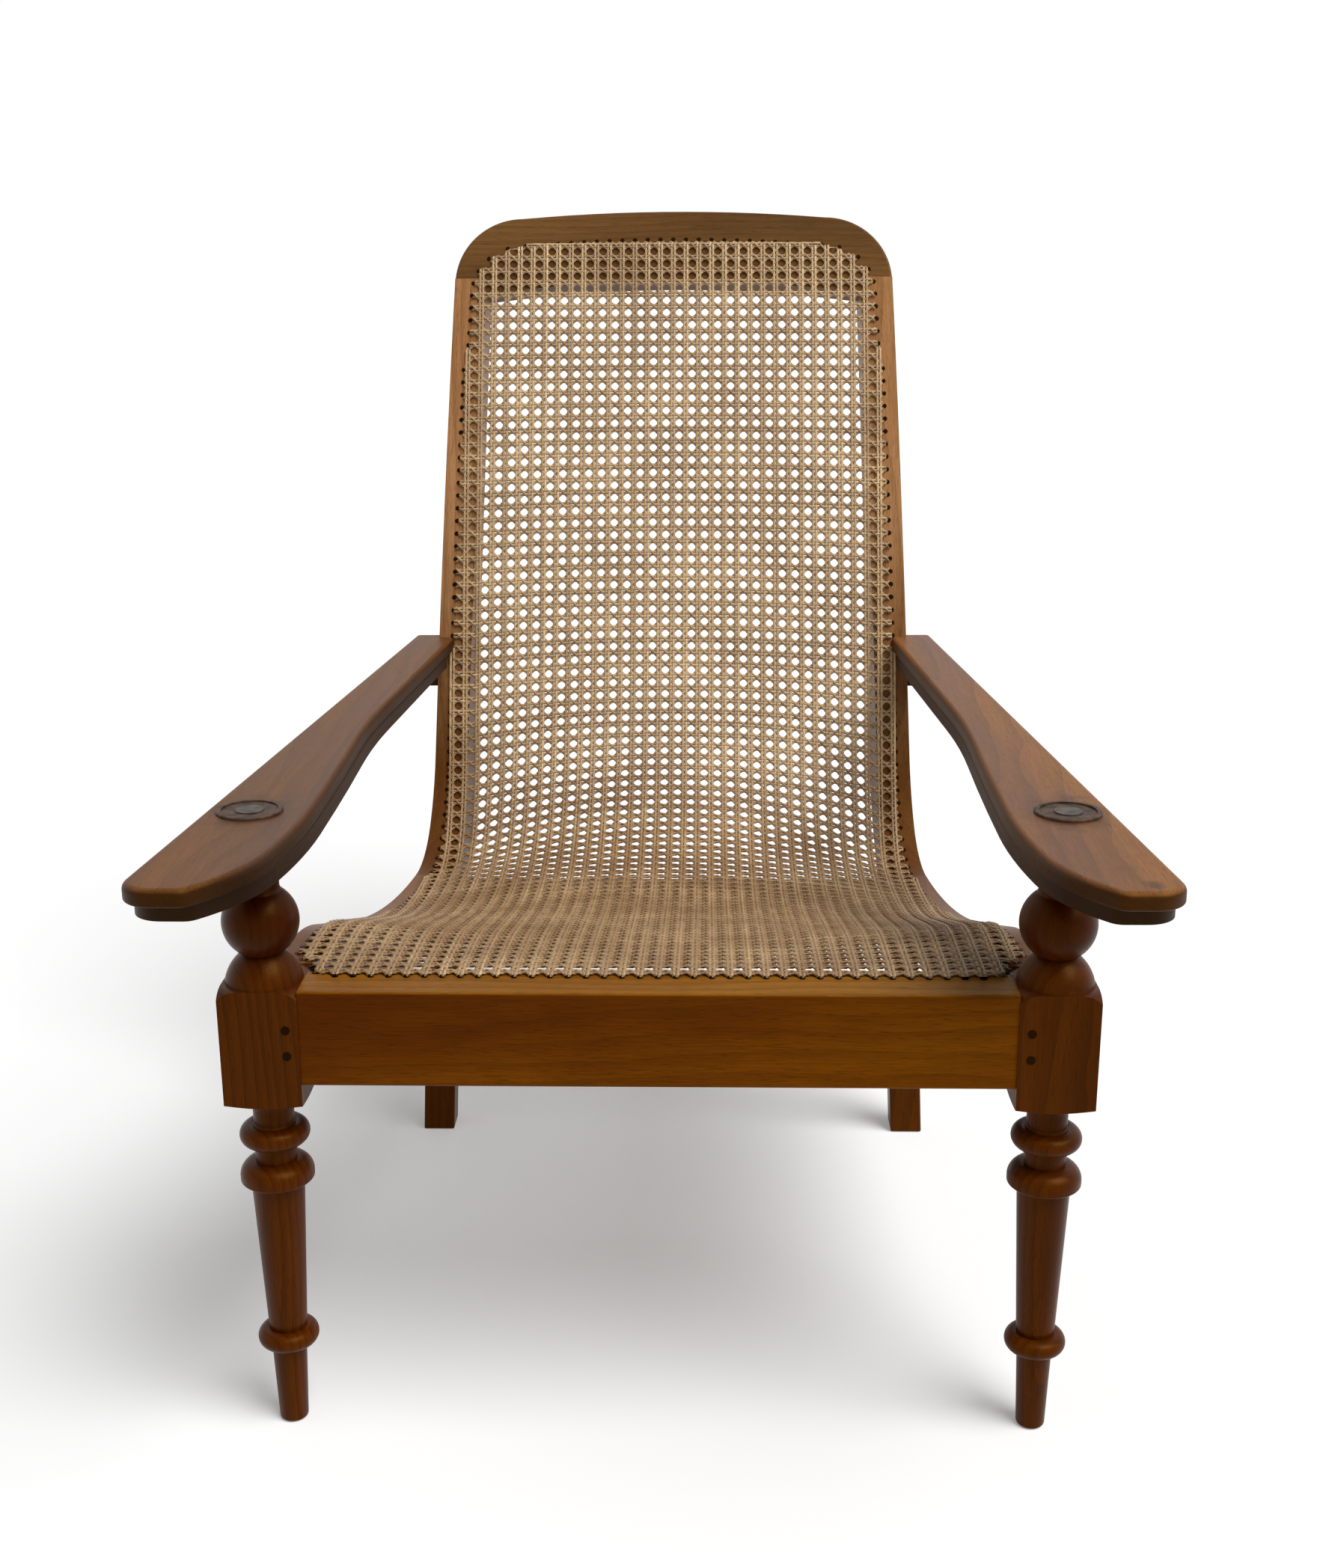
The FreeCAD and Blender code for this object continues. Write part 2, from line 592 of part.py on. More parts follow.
def crest_rail():
    edges, left, right = crest_top_edges(0, 0, CREST_CORNER_RADIUS, 0)
    inner = side_x(seam_point.y) - SIDE_THICKNESS + CREST_DROP_LAP
    seam_right = Vector(inner, 0, 0)
    drop_right = Vector(inner, 0, -CREST_DROP_SIDE)
    seam_left = Vector(-inner, 0, 0)
    drop_left = Vector(-inner, 0, -CREST_DROP_SIDE)
    edges += [
        Part.makeLine(right, seam_right),
        Part.makeLine(seam_right, drop_right),
        arc(drop_right, Vector(0, 0, -CREST_DROP_MIDDLE), drop_left),
        Part.makeLine(drop_left, seam_left),
        Part.makeLine(seam_left, left),
    ]
    crest = solid_from_outline(edges, Y_AXIS * CREST_THICKNESS)
    crest = rounded(crest, EDGE_ROUNDING,
                    lambda edge: edge.CenterOfMass.z > CREST_DROP_MIDDLE
                    and edge.BoundBox.YLength < 0.1)
    crest = in_crest_plane(crest)
    return crest.cut([back_stile(), mirrored(back_stile())])


# Arms and leg rests


def plan_right(degrees):
    """Square to a heading in plan, to its right; a heading of 0 looks along +X."""
    angle = math.radians(degrees)
    return Vector(math.sin(angle), -math.cos(angle), 0)


def arm_inner_edges(front, inset):
    """Inner edge of the arm, from its front edge to its rear end, moved inwards by inset."""
    point, heading = Vector(ARM_NOSE_X, -front, 0), 180.0
    edges = []
    for radius, turn in ARM_INNER:
        reach = math.copysign(radius, turn)
        centre = point + plan_right(heading) * reach
        stations = [centre + plan_right(heading - turn * share) * (inset - reach)
                    for share in (0, 0.5, 1)]
        edges.append(arc(*stations))
        heading -= turn
        point = centre - plan_right(heading) * reach
    start = edges[-1].Vertexes[-1].Point
    angle = math.radians(heading)
    along = Vector(math.cos(angle), math.sin(angle), 0)
    edges.append(Part.makeLine(start, start + along * ((ARM_REAR - start.y) / along.y)))
    return edges


def arm_outline(front, inset):
    """Plan of the arm or, with an inset, of the leg rest under it, as a face at height zero."""
    rear_outer = Vector(ARM_REAR_X, ARM_REAR, 0)
    forward = (Vector(ARM_OUTER_X, -ARM_OUTER_Y, 0) - rear_outer).normalize()
    inward = Vector(forward.y, -forward.x, 0)
    centre_y = ARM_CORNER_RADIUS - front
    travel = (centre_y - ARM_REAR - inward.y * ARM_CORNER_RADIUS) / forward.y
    centre = rear_outer + forward * travel + inward * ARM_CORNER_RADIUS
    radius = ARM_CORNER_RADIUS - inset
    rear_corner = rear_outer + inward * inset
    rear_corner = rear_corner + forward * ((ARM_REAR - rear_corner.y) / forward.y)
    inner = arm_inner_edges(front, inset)
    nose, rear_inner = inner[0].Vertexes[0].Point, inner[-1].Vertexes[-1].Point
    edges = [
        Part.makeLine(rear_corner, centre - inward * radius),
        arc(centre - inward * radius, centre - (inward + Y_AXIS).normalize() * radius,
            centre - Y_AXIS * radius),
        Part.makeLine(centre - Y_AXIS * radius, nose),
    ]
    return Part.Face(Part.Wire(edges + inner + [Part.makeLine(rear_inner, rear_corner)]))


def pivot_rod(radius, low, high):
    return rod(radius, Vector(PIVOT_X, 0, low), Vector(PIVOT_X, 0, high))


def arm():
    board = arm_outline(ARM_FRONT, 0).extrude(Z_AXIS * ARM_THICKNESS)
    board.translate(Z_AXIS * (ARM_TOP - ARM_THICKNESS))
    board = rounded(board, ARM_TOP_ROUNDING,
                    lambda edge: edge.CenterOfMass.z > ARM_TOP - 0.1
                    and edge.CenterOfMass.y < ARM_REAR - 1)
    board = rounded(board, ARM_BOTTOM_ROUNDING,
                    lambda edge: edge.CenterOfMass.z < ARM_TOP - ARM_THICKNESS + 0.1
                    and edge.CenterOfMass.y < ARM_REAR - 1)
    board = board.cut(stile_front_space())
    board = max(board.Solids, key=lambda solid: solid.Volume)
    recess = pivot_rod(CAP_RADIUS, ARM_TOP - CAP_RECESS, FAR)
    return board.cut([pivot_bolt(), recess, cane_sheet()])


def stile_front_space():
    """The stile's own width, from its front face to far behind the chair."""
    edges = sweep_edges(back_at, seam_at) + [
        Part.makeLine(seam_point, seam_point + Y_AXIS * FAR),
        Part.makeLine(seam_point + Y_AXIS * FAR, sweep["points"][back_at] + Y_AXIS * FAR),
        Part.makeLine(sweep["points"][back_at] + Y_AXIS * FAR, sweep["points"][back_at]),
    ]
    return across_chair(edges).common(side_slab(0, FAR / 2))


def leg_rest():
    leaf = arm_outline(LEAF_FRONT, LEAF_INSET).extrude(Z_AXIS * LEAF_THICKNESS)
    leaf.translate(Z_AXIS * (leaf_top - LEAF_THICKNESS))
    leaf = leaf.common(leaf_side_view()).Solids[0]
    leaf = rounded(leaf, LEAF_TIP_ROUNDING,
                   lambda edge: edge.BoundBox.YLength < 0.1 and edge.BoundBox.XLength < 0.1
                   and abs(edge.CenterOfMass.y - LEAF_REAR) < 0.1)
    leaf = rounded(leaf, LEAF_ROUNDING, lambda edge: edge.BoundBox.ZMin > leaf_top - 0.1)
    return leaf.cut(pivot_rod(BOLT_RADIUS + PIVOT_CLEARANCE, 0, FAR))


def leaf_side_view():
    """Side view of the leg rest, which thins towards its free end."""
    low = leaf_top - LEAF_THICKNESS
    corners = [
        Vector(0, -FAR, low),
        Vector(0, LEAF_TAPER_START, low),
        Vector(0, LEAF_REAR, leaf_top - LEAF_TIP_THICKNESS),
        Vector(0, LEAF_REAR, leaf_top),
        Vector(0, -FAR, leaf_top),
    ]
    return Part.Face(Part.makePolygon(corners + corners[:1])).extrude(X_AXIS * FAR)


def arm_cleat():
    side_view = box((0, FAR), (CLEAT_FRONT, CLEAT_FRONT + CLEAT_LENGTH),
                    (ARM_TOP - ARM_THICKNESS - CLEAT_HEIGHT, ARM_TOP - ARM_THICKNESS))
    cleat = side_view.common(side_slab(CLEAT_THICKNESS, 0))
    lower_front = [edge for edge in cleat.Edges
                   if edge.BoundBox.ZLength < 0.1 and edge.BoundBox.YLength < 2
                   and edge.CenterOfMass.z < ARM_TOP - ARM_THICKNESS - 1]
    return cleat.makeFillet(EDGE_ROUNDING, lower_front)


# Pivots


def pivot_bolt():
    head_top = ARM_TOP + CAP_FLOOR_HEIGHT + 0.8
    head_low = head_top - BOLT_HEAD_HEIGHT
    shank = pivot_rod(BOLT_RADIUS, leg_top - BOLT_IN_LEG, head_low)
    cone = Part.makeCone(BOLT_RADIUS, BOLT_HEAD_RADIUS, BOLT_HEAD_HEIGHT - 1.2,
                         Vector(PIVOT_X, 0, head_low))
    rim = pivot_rod(BOLT_HEAD_RADIUS, head_top - 1.2, head_top)
    return shank.fuse([cone, rim]).removeSplitter()


def pivot_cap():
    low = ARM_TOP - CAP_RECESS
    disc = pivot_rod(CAP_RADIUS, low, ARM_TOP + CAP_RIM_HEIGHT)
    rim_edges = [edge for edge in disc.Edges
                 if abs(edge.BoundBox.ZMin - ARM_TOP - CAP_RIM_HEIGHT) < 0.01]
    disc = disc.makeFillet(1.2, rim_edges)
    disc = disc.cut(pivot_rod(CAP_RADIUS - CAP_RIM_WIDTH, ARM_TOP + CAP_FLOOR_HEIGHT, FAR))
    return disc.cut(pivot_bolt())


def pivot_washers():
    washers = []
    for low in (leg_top, leaf_top + WASHER_GAP):
        washer = pivot_rod(WASHER_RADIUS, low, low + WASHER_THICKNESS)
        washers.append(washer.cut(pivot_rod(BOLT_RADIUS, 0, FAR)))
    return washers


# Pegs and screws


def front_rail_pegs():
    x = FRONT_LEG_X - half_block + PEG_INSET
    pegs = []
    for z in (UPPER_PEG_Z, UPPER_PEG_Z - PEG_SPACING):
        pegs.append(rod(PEG_RADIUS, Vector(x, -half_block - PEG_PROUD, z),
                        Vector(x, half_block - SIDE_TENON_LENGTH - 5.0, z)))
    return pegs


def side_rail_pegs():
    y = half_block - SIDE_TENON_LENGTH / 2
    outer = FRONT_LEG_X + half_block + PEG_PROUD
    inner = side_middle_x(half_block) - TENON_THICKNESS / 2 - 5.0
    pegs = []
    for z in (UPPER_PEG_Z, UPPER_PEG_Z - PEG_SPACING):
        pegs.append(rod(PEG_RADIUS, Vector(outer, y, z), Vector(inner, y, z)))
    return pegs


def through_side(radius, y, z):
    """A peg from just outside the side's outer face to just short of its inner face."""
    outer = side_x(y)
    return rod(radius, Vector(outer + PEG_PROUD, y, z),
               Vector(outer - SIDE_THICKNESS + 4.0, y, z))


def stile_pegs():
    y = bend_point.y + STILE_TENON_LENGTH / 2
    middle_z = (bend_point.z + stile_foot_z) / 2
    apart = 0.54 * (STILE_DEPTH / 2 - TENON_SHOULDER)
    return [through_side(SMALL_PEG_RADIUS, y, middle_z + apart),
            through_side(SMALL_PEG_RADIUS, y, middle_z - apart)]


def rear_leg_peg():
    return through_side(SMALL_PEG_RADIUS, rear_leg_y, stile_foot_z + LEG_TENON_LENGTH / 2)


def cross_rail_peg():
    """A long peg through the top of the leg into the rail's end."""
    z = stile_foot_z - 3 * SMALL_PEG_RADIUS
    outer = rear_leg_x(z) + REAR_LEG_SIDE / 2 + PEG_PROUD
    inner = rear_leg_x(z) - REAR_LEG_SIDE / 2 - CROSS_PEG_REACH
    return rod(SMALL_PEG_RADIUS, Vector(outer, rear_leg_y, z), Vector(inner, rear_leg_y, z))


def crest_peg():
    x = side_middle_x(seam_point.y)
    z = STILE_TENON_LENGTH / 2
    return in_crest_plane(rod(SMALL_PEG_RADIUS, Vector(x, CREST_THICKNESS + PEG_PROUD, z),
                              Vector(x, 4.0, z)))


def screw(head, along, length):
    """A countersunk wood screw, its head's face at head and its point at head + along * length."""
    neck = head + along * SCREW_HEAD_HEIGHT
    cone = Part.makeCone(SCREW_HEAD_RADIUS, SCREW_RADIUS, SCREW_HEAD_HEIGHT, head, along)
    return cone.fuse(rod(SCREW_RADIUS, neck, head + along * length)).removeSplitter()


def cleat_screws():
    screws = []
    for y_share, z_share in ((0.45, 0.25), (0.72, 0.7)):
        y = CLEAT_FRONT + CLEAT_LENGTH * y_share
        z = ARM_TOP - ARM_THICKNESS - CLEAT_HEIGHT * (1 - z_share)
        head = Vector(side_x(y) + CLEAT_THICKNESS, y, z)
        screws.append(screw(head, -X_AXIS, CLEAT_THICKNESS + SCREW_IN_STILE))
    return screws


def arm_screw():
    y = CLEAT_FRONT + 0.26 * CLEAT_LENGTH
    head = Vector(side_x(y) + CLEAT_THICKNESS / 2, y, ARM_TOP - ARM_THICKNESS - CLEAT_HEIGHT)
    return screw(head, Z_AXIS, CLEAT_HEIGHT + SCREW_IN_ARM)


# Cane: one woven sheet from the front rail over the seat to the crest


def cane_outline():
    """Side view of the cane, from its front edge over the seat and up the crest."""
    faces = []
    for lift in (CANE_BEDDING, CANE_BEDDING + CANE_THICKNESS):
        front = Vector(0, CANE_FRONT_Y, RAIL_TOP + lift)
        first = sweep["points"][0] + Z_AXIS * lift
        seam = seam_point - normal_vector(seam_heading) * lift
        top = seam + heading_vector(seam_heading) * CREST_HEIGHT
        edges = [Part.makeLine(front, first)] + sweep_edges(0, seam_at, -lift)
        edges.append(Part.makeLine(seam, top))
        faces.append((front, top, edges))
    (low_front, low_top, outline), (high_front, high_top, upper) = faces
    ends = [Part.makeLine(low_front, high_front), Part.makeLine(low_top, high_top)]
    return outline + upper + ends


def cane_corner():
    """Space at a front corner that the cane leaves free: the leg's block and a slanted cut."""
    block = box((FRONT_LEG_X - half_block - CANE_LEG_GAP, FAR),
                (-FAR, half_block + CANE_LEG_GAP), (0, FAR))
    start = Vector(CANE_CORNER_X, CANE_FRONT_Y, 0)
    along = Vector(CANE_CORNER_SLANT, 1, 0) * FAR
    corners = [start - along, start + along, start + along + X_AXIS * FAR, start - along + X_AXIS * FAR]
    cut = Part.Face(Part.makePolygon(corners + corners[:1])).extrude(Z_AXIS * FAR)
    seat_corner = box((0, FAR), (-FAR, 2 * half_block + CANE_FRONT_Y), (0, FAR))
    return block.fuse(cut.common(seat_corner))


def cane_sheet():
    sheet = across_chair(cane_outline())
    sheet = sheet.fuse(mirrored(sheet)).removeSplitter()
    half = side_slab(-CANE_SIDE_MARGIN, FAR)
    sheet = sheet.common(half).common(mirrored(half))
    edges, left, right = crest_top_edges(CANE_CREST_MARGIN, CANE_TOP_MARGIN,
                                         CANE_CORNER_RADIUS, -FAR, CANE_LEAN)
    edges.append(Part.makeLine(right, left))
    crest_region = solid_from_outline(edges, Y_AXIS * CREST_THICKNESS * 2)
    crest_region.translate(Y_AXIS * -CREST_THICKNESS)
    crest_region = in_crest_plane(crest_region)
    below = box((-FAR, FAR), (-FAR, FAR), (0, ARM_TOP))
    sheet = sheet.common(crest_region.fuse(below))
    return sheet.cut([cane_corner(), mirrored(cane_corner())])


def along_sweep(way):
    """Point and heading of the sweep, this far behind its first station."""
    points, headings = sweep["points"], sweep["headings"]
    for index in range(seam_at):
        chord = points[index + 1] - points[index]
        half_turn = math.radians(headings[index + 1] - headings[index]) / 2
        bow = half_turn / math.sin(half_turn) if half_turn else 1.0
        length = chord.Length * bow
        if way <= length or index == seam_at - 1:
            share = way / length
            heading = headings[index] + (headings[index + 1] - headings[index]) * share
            reach = math.sin(half_turn * share) / math.sin(half_turn) if half_turn else share
            mean = (headings[index] + heading) / 2
            return points[index] + heading_vector(mean) * chord.Length * reach, heading
        way -= length


def cane_openings():
    """Grid of openings where no wood lies behind the cane, from the front rail to the crest."""
    length = sum(edge.Length for edge in sweep_edges(0, seam_at))
    step = (length - CREST_DROP_SIDE - 2.0) / CANE_GRID_ROWS
    half_length = step * CANE_GRID_OPEN / 2
    openings = []
    for row in range(CANE_GRID_ROWS):
        point, heading = along_sweep(step * (row + 0.5))
        half_width = side_x(point.y) - SIDE_THICKNESS - CANE_GRID_EDGE
        across = 2 * half_width / CANE_GRID_COLUMNS
        half_opening = across * CANE_GRID_OPEN / 2
        for column in range(CANE_GRID_COLUMNS):
            opening = box((-half_opening, half_opening), (-half_length, half_length), (-9, 9))
            opening.rotate(Vector(0, 0, 0), X_AXIS, heading)
            opening.translate(point + X_AXIS * (across * (column + 0.5) - half_width))
            openings.append(opening)
    return openings


def cane_panel():
    return cane_sheet().cut(cane_openings())


# Assembly: every piece is cut for what passes through it


def chair_nodes():
    front_leg_pegs = front_rail_pegs() + side_rail_pegs()
    leg = front_leg().cut([front_rail_tenon(), side_rail_front_tenon()] + front_leg_pegs)
    both_sides = [mirrored(peg) for peg in front_rail_pegs()] + front_rail_pegs()
    stile_holes = [side_rail_rear_tenon(), rear_leg_tenon(), rear_leg_peg(), cross_rail_tenon()]
    stile_holes += stile_pegs() + cleat_screws()
    crest_holes = [crest_peg(), mirrored(crest_peg())]
    cross_pegs = [cross_rail_peg(), rear_leg_peg()]
    cross_pegs += [mirrored(peg) for peg in cross_pegs]
    found = {
        "front_rail": front_rail().cut(both_sides),
        "rear_cross_rail": cross_rail().cut(cross_pegs),
        "crest_rail": crest_rail().cut(crest_holes),
        "cane_panel": cane_panel(),
        "front_rail_pegs": both(Part.makeCompound(front_rail_pegs())),
        "side_rail_pegs": both(Part.makeCompound(side_rail_pegs())),
        "stile_pegs": both(Part.makeCompound(stile_pegs())),
        "rear_leg_pegs": both(rear_leg_peg()),
        "cross_rail_pegs": both(cross_rail_peg()),
        "crest_pegs": both(crest_peg()),
        "cleat_screws": both(Part.makeCompound(cleat_screws())),
        "arm_screws": both(arm_screw()),
    }
    paired = {
        "front_leg": leg,
        "rear_leg": rear_leg().cut([cross_rail_tenon(), cross_rail_peg(), rear_leg_peg()]),
        "side_rail": side_rail().cut(side_rail_pegs() + stile_pegs()),
        "back_stile": back_stile().cut(stile_holes + [crest_peg()]),
        "arm": arm().cut(arm_screw()),
        "arm_cleat": arm_cleat().cut(cleat_screws() + [arm_screw()]),
        "leg_rest": leg_rest(),
        "pivot_bolt": pivot_bolt(),
        "pivot_cap": pivot_cap(),
        "pivot_washers": Part.makeCompound(pivot_washers()),
    }
    for name, shape in paired.items():
        found[name + "_right"] = shape
        found[name + "_left"] = mirrored(shape)
    return found


nodes = chair_nodes()
whole = Part.makeCompound(list(nodes.values())).optimalBoundingBox(False)
to_middle = Vector(0, -(whole.YMin + whole.YMax) / 2, 0)

os.makedirs("parts", exist_ok=True)
for name, shape in sorted(nodes.items()):
    shape.translate(to_middle)
    shape.exportStep("parts/" + name + ".step")
    print(f"{name}: {len(shape.Solids)} solids, {shape.Volume / 1000:.1f} cm3, valid {shape.isValid()}")
print(f"box x {whole.XMin:.2f} {whole.XMax:.2f} y {whole.YMin:.2f} {whole.YMax:.2f} z {whole.ZMax:.2f}")
print(f"front leg axis at y {to_middle.y:.3f}, seam at {seam_point.y:.1f}, {seam_point.z:.1f}")
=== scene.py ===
import math
import random

import bmesh
import bpy
from mathutils import Matrix, Vector


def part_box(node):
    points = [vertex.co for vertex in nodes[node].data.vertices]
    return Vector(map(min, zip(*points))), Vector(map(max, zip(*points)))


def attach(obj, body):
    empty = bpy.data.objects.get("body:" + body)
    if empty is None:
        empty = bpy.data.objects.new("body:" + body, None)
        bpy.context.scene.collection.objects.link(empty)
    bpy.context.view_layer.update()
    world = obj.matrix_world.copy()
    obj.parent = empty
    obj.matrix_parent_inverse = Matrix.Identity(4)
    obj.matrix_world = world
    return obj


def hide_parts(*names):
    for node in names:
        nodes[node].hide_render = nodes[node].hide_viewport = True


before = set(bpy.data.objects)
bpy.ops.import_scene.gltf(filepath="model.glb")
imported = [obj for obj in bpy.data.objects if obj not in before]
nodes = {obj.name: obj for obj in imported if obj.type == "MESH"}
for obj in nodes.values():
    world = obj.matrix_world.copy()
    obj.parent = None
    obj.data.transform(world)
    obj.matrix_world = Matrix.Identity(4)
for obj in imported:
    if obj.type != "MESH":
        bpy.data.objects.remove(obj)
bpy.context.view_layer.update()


# Camera and studio. The camera looks a little down on the chair from in front, at standing
# height. A white floor runs out of sight, lit by one broad soft lamp from above on the right.

CAMERA_PLACE = (0.03833, -1.70929, 0.96697)
CAMERA_PAN, CAMERA_DIP, CAMERA_ROLL = 1.484, 16.352, -0.321    # degrees

camera = bpy.data.objects.new("camera", bpy.data.cameras.new("camera"))
camera.data.sensor_width = 36.0
camera.data.lens = 42.94
camera.data.clip_end = 200.0
camera_turn = (Matrix.Rotation(math.radians(CAMERA_PAN), 4, "Z")
               @ Matrix.Rotation(math.radians(90.0 - CAMERA_DIP), 4, "X")
               @ Matrix.Rotation(math.radians(CAMERA_ROLL), 4, "Z"))
camera.matrix_world = Matrix.Translation(CAMERA_PLACE) @ camera_turn
bpy.context.scene.collection.objects.link(camera)
bpy.context.scene.camera = camera
bpy.context.scene.view_settings.view_transform = "Standard"


def mesh_piece(name, bm):
    """Turn a bmesh into one object of the scene."""
    mesh = bpy.data.meshes.new(name)
    bm.to_mesh(mesh)
    bm.free()
    piece = bpy.data.objects.new(name, mesh)
    bpy.context.scene.collection.objects.link(piece)
    return piece


def add(tree, kind, inputs=None, **settings):
    """Add a shader node; an input is either a plain value or another node's output."""
    made = tree.nodes.new("ShaderNode" + kind)
    for key, value in settings.items():
        setattr(made, key, value)
    for key, value in (inputs or {}).items():
        if isinstance(value, bpy.types.NodeSocket):
            tree.links.new(value, made.inputs[key])
        else:
            made.inputs[key].default_value = value
    return made


def seen_directly(tree):
    """1 for rays that show the background itself, also in metal, and 0 for all others."""
    path = add(tree, "LightPath").outputs
    bounced = add(tree, "Math", {0: path["Is Glossy Ray"], 1: path["Is Transmission Ray"]})
    return add(tree, "Math", {0: path["Is Camera Ray"], 1: bounced.outputs[0]},
               use_clamp=True).outputs[0]


SKY_LIGHT = 0.22               # what the white surroundings add to the lamp's light
TO_LAMP = Vector((0.45, -0.34, 0.84))
FLOOR_HALF = 40.0
FLOOR_DROP = 0.0002            # keeps the floor clear of the feet's undersides
FLOOR_WHITE = 0.82
FLOOR_GLOW = 0.22              # lifts the floor to white where no shadow falls

world = bpy.data.worlds.new("studio")
world.use_nodes = True
bpy.context.scene.world = world
sky = world.node_tree.nodes["Background"]
sky.inputs["Color"].default_value = (1.0, 1.0, 1.0, 1.0)
ambient = add(world.node_tree, "MapRange", {"Value": seen_directly(world.node_tree),
                                            "To Min": SKY_LIGHT, "To Max": 1.0})
world.node_tree.links.new(ambient.outputs[0], sky.inputs["Strength"])

lamp = bpy.data.objects.new("soft_lamp", bpy.data.lights.new("soft_lamp", "SUN"))
lamp.data.energy = 2.95
lamp.data.angle = math.radians(40.0)
lamp.matrix_world = TO_LAMP.to_track_quat("Z", "Y").to_matrix().to_4x4()
bpy.context.scene.collection.objects.link(lamp)

bm = bmesh.new()
bmesh.ops.create_grid(bm, x_segments=1, y_segments=1, size=FLOOR_HALF)
bmesh.ops.translate(bm, vec=(0.0, 0.0, -FLOOR_DROP), verts=bm.verts)
floor = mesh_piece("floor", bm)
floor_paint = bpy.data.materials.new("floor_paint")
floor_paint.use_nodes = True
tree = floor_paint.node_tree
tree.nodes.clear()
matt = add(tree, "BsdfDiffuse", {"Color": (FLOOR_WHITE, FLOOR_WHITE, FLOOR_WHITE, 1.0)})
lift = add(tree, "Math", {0: seen_directly(tree), 1: FLOOR_GLOW}, operation="MULTIPLY")
glow = add(tree, "Emission", {"Strength": lift.outputs[0]})
both = add(tree, "AddShader", {0: matt.outputs[0], 1: glow.outputs[0]})
add(tree, "OutputMaterial", {"Surface": both.outputs[0]})
floor.data.materials.append(floor_paint)


# Seat and back frame: front rail, side rails, back stiles, crest and cross rail, sawn from teak,
# tenoned and pegged, then oiled. The front rail is the most orange, the crest the brownest.


def tone(red, green, blue):
    """A colour as a screen shows it, made linear for the shader."""
    return tuple((part / 255.0) ** 2.2 for part in (red, green, blue)) + (1.0,)


# Painted light: a face whose normal points up this far counts as a top and takes the tops' paler
# tones, partly wear and partly light from above.
FACES_UP = (0.45, 0.9)         # upward part of a face's normal, where it counts as a top
TONE_SHIFT_FRAY = 0.3                # share of the change that drifts with the colour
RING_SWAY = 0.045              # how far the rings wander, in metres
PORE_DARK = 0.35               # of the tone of the late wood
OIL_TINT = (1.0, 0.55, 0.15, 1.0)
ALONG_Y, ALONG_Z = (0.0, 0.0, 90.0), (0.0, 90.0, 0.0)      # turns for grain


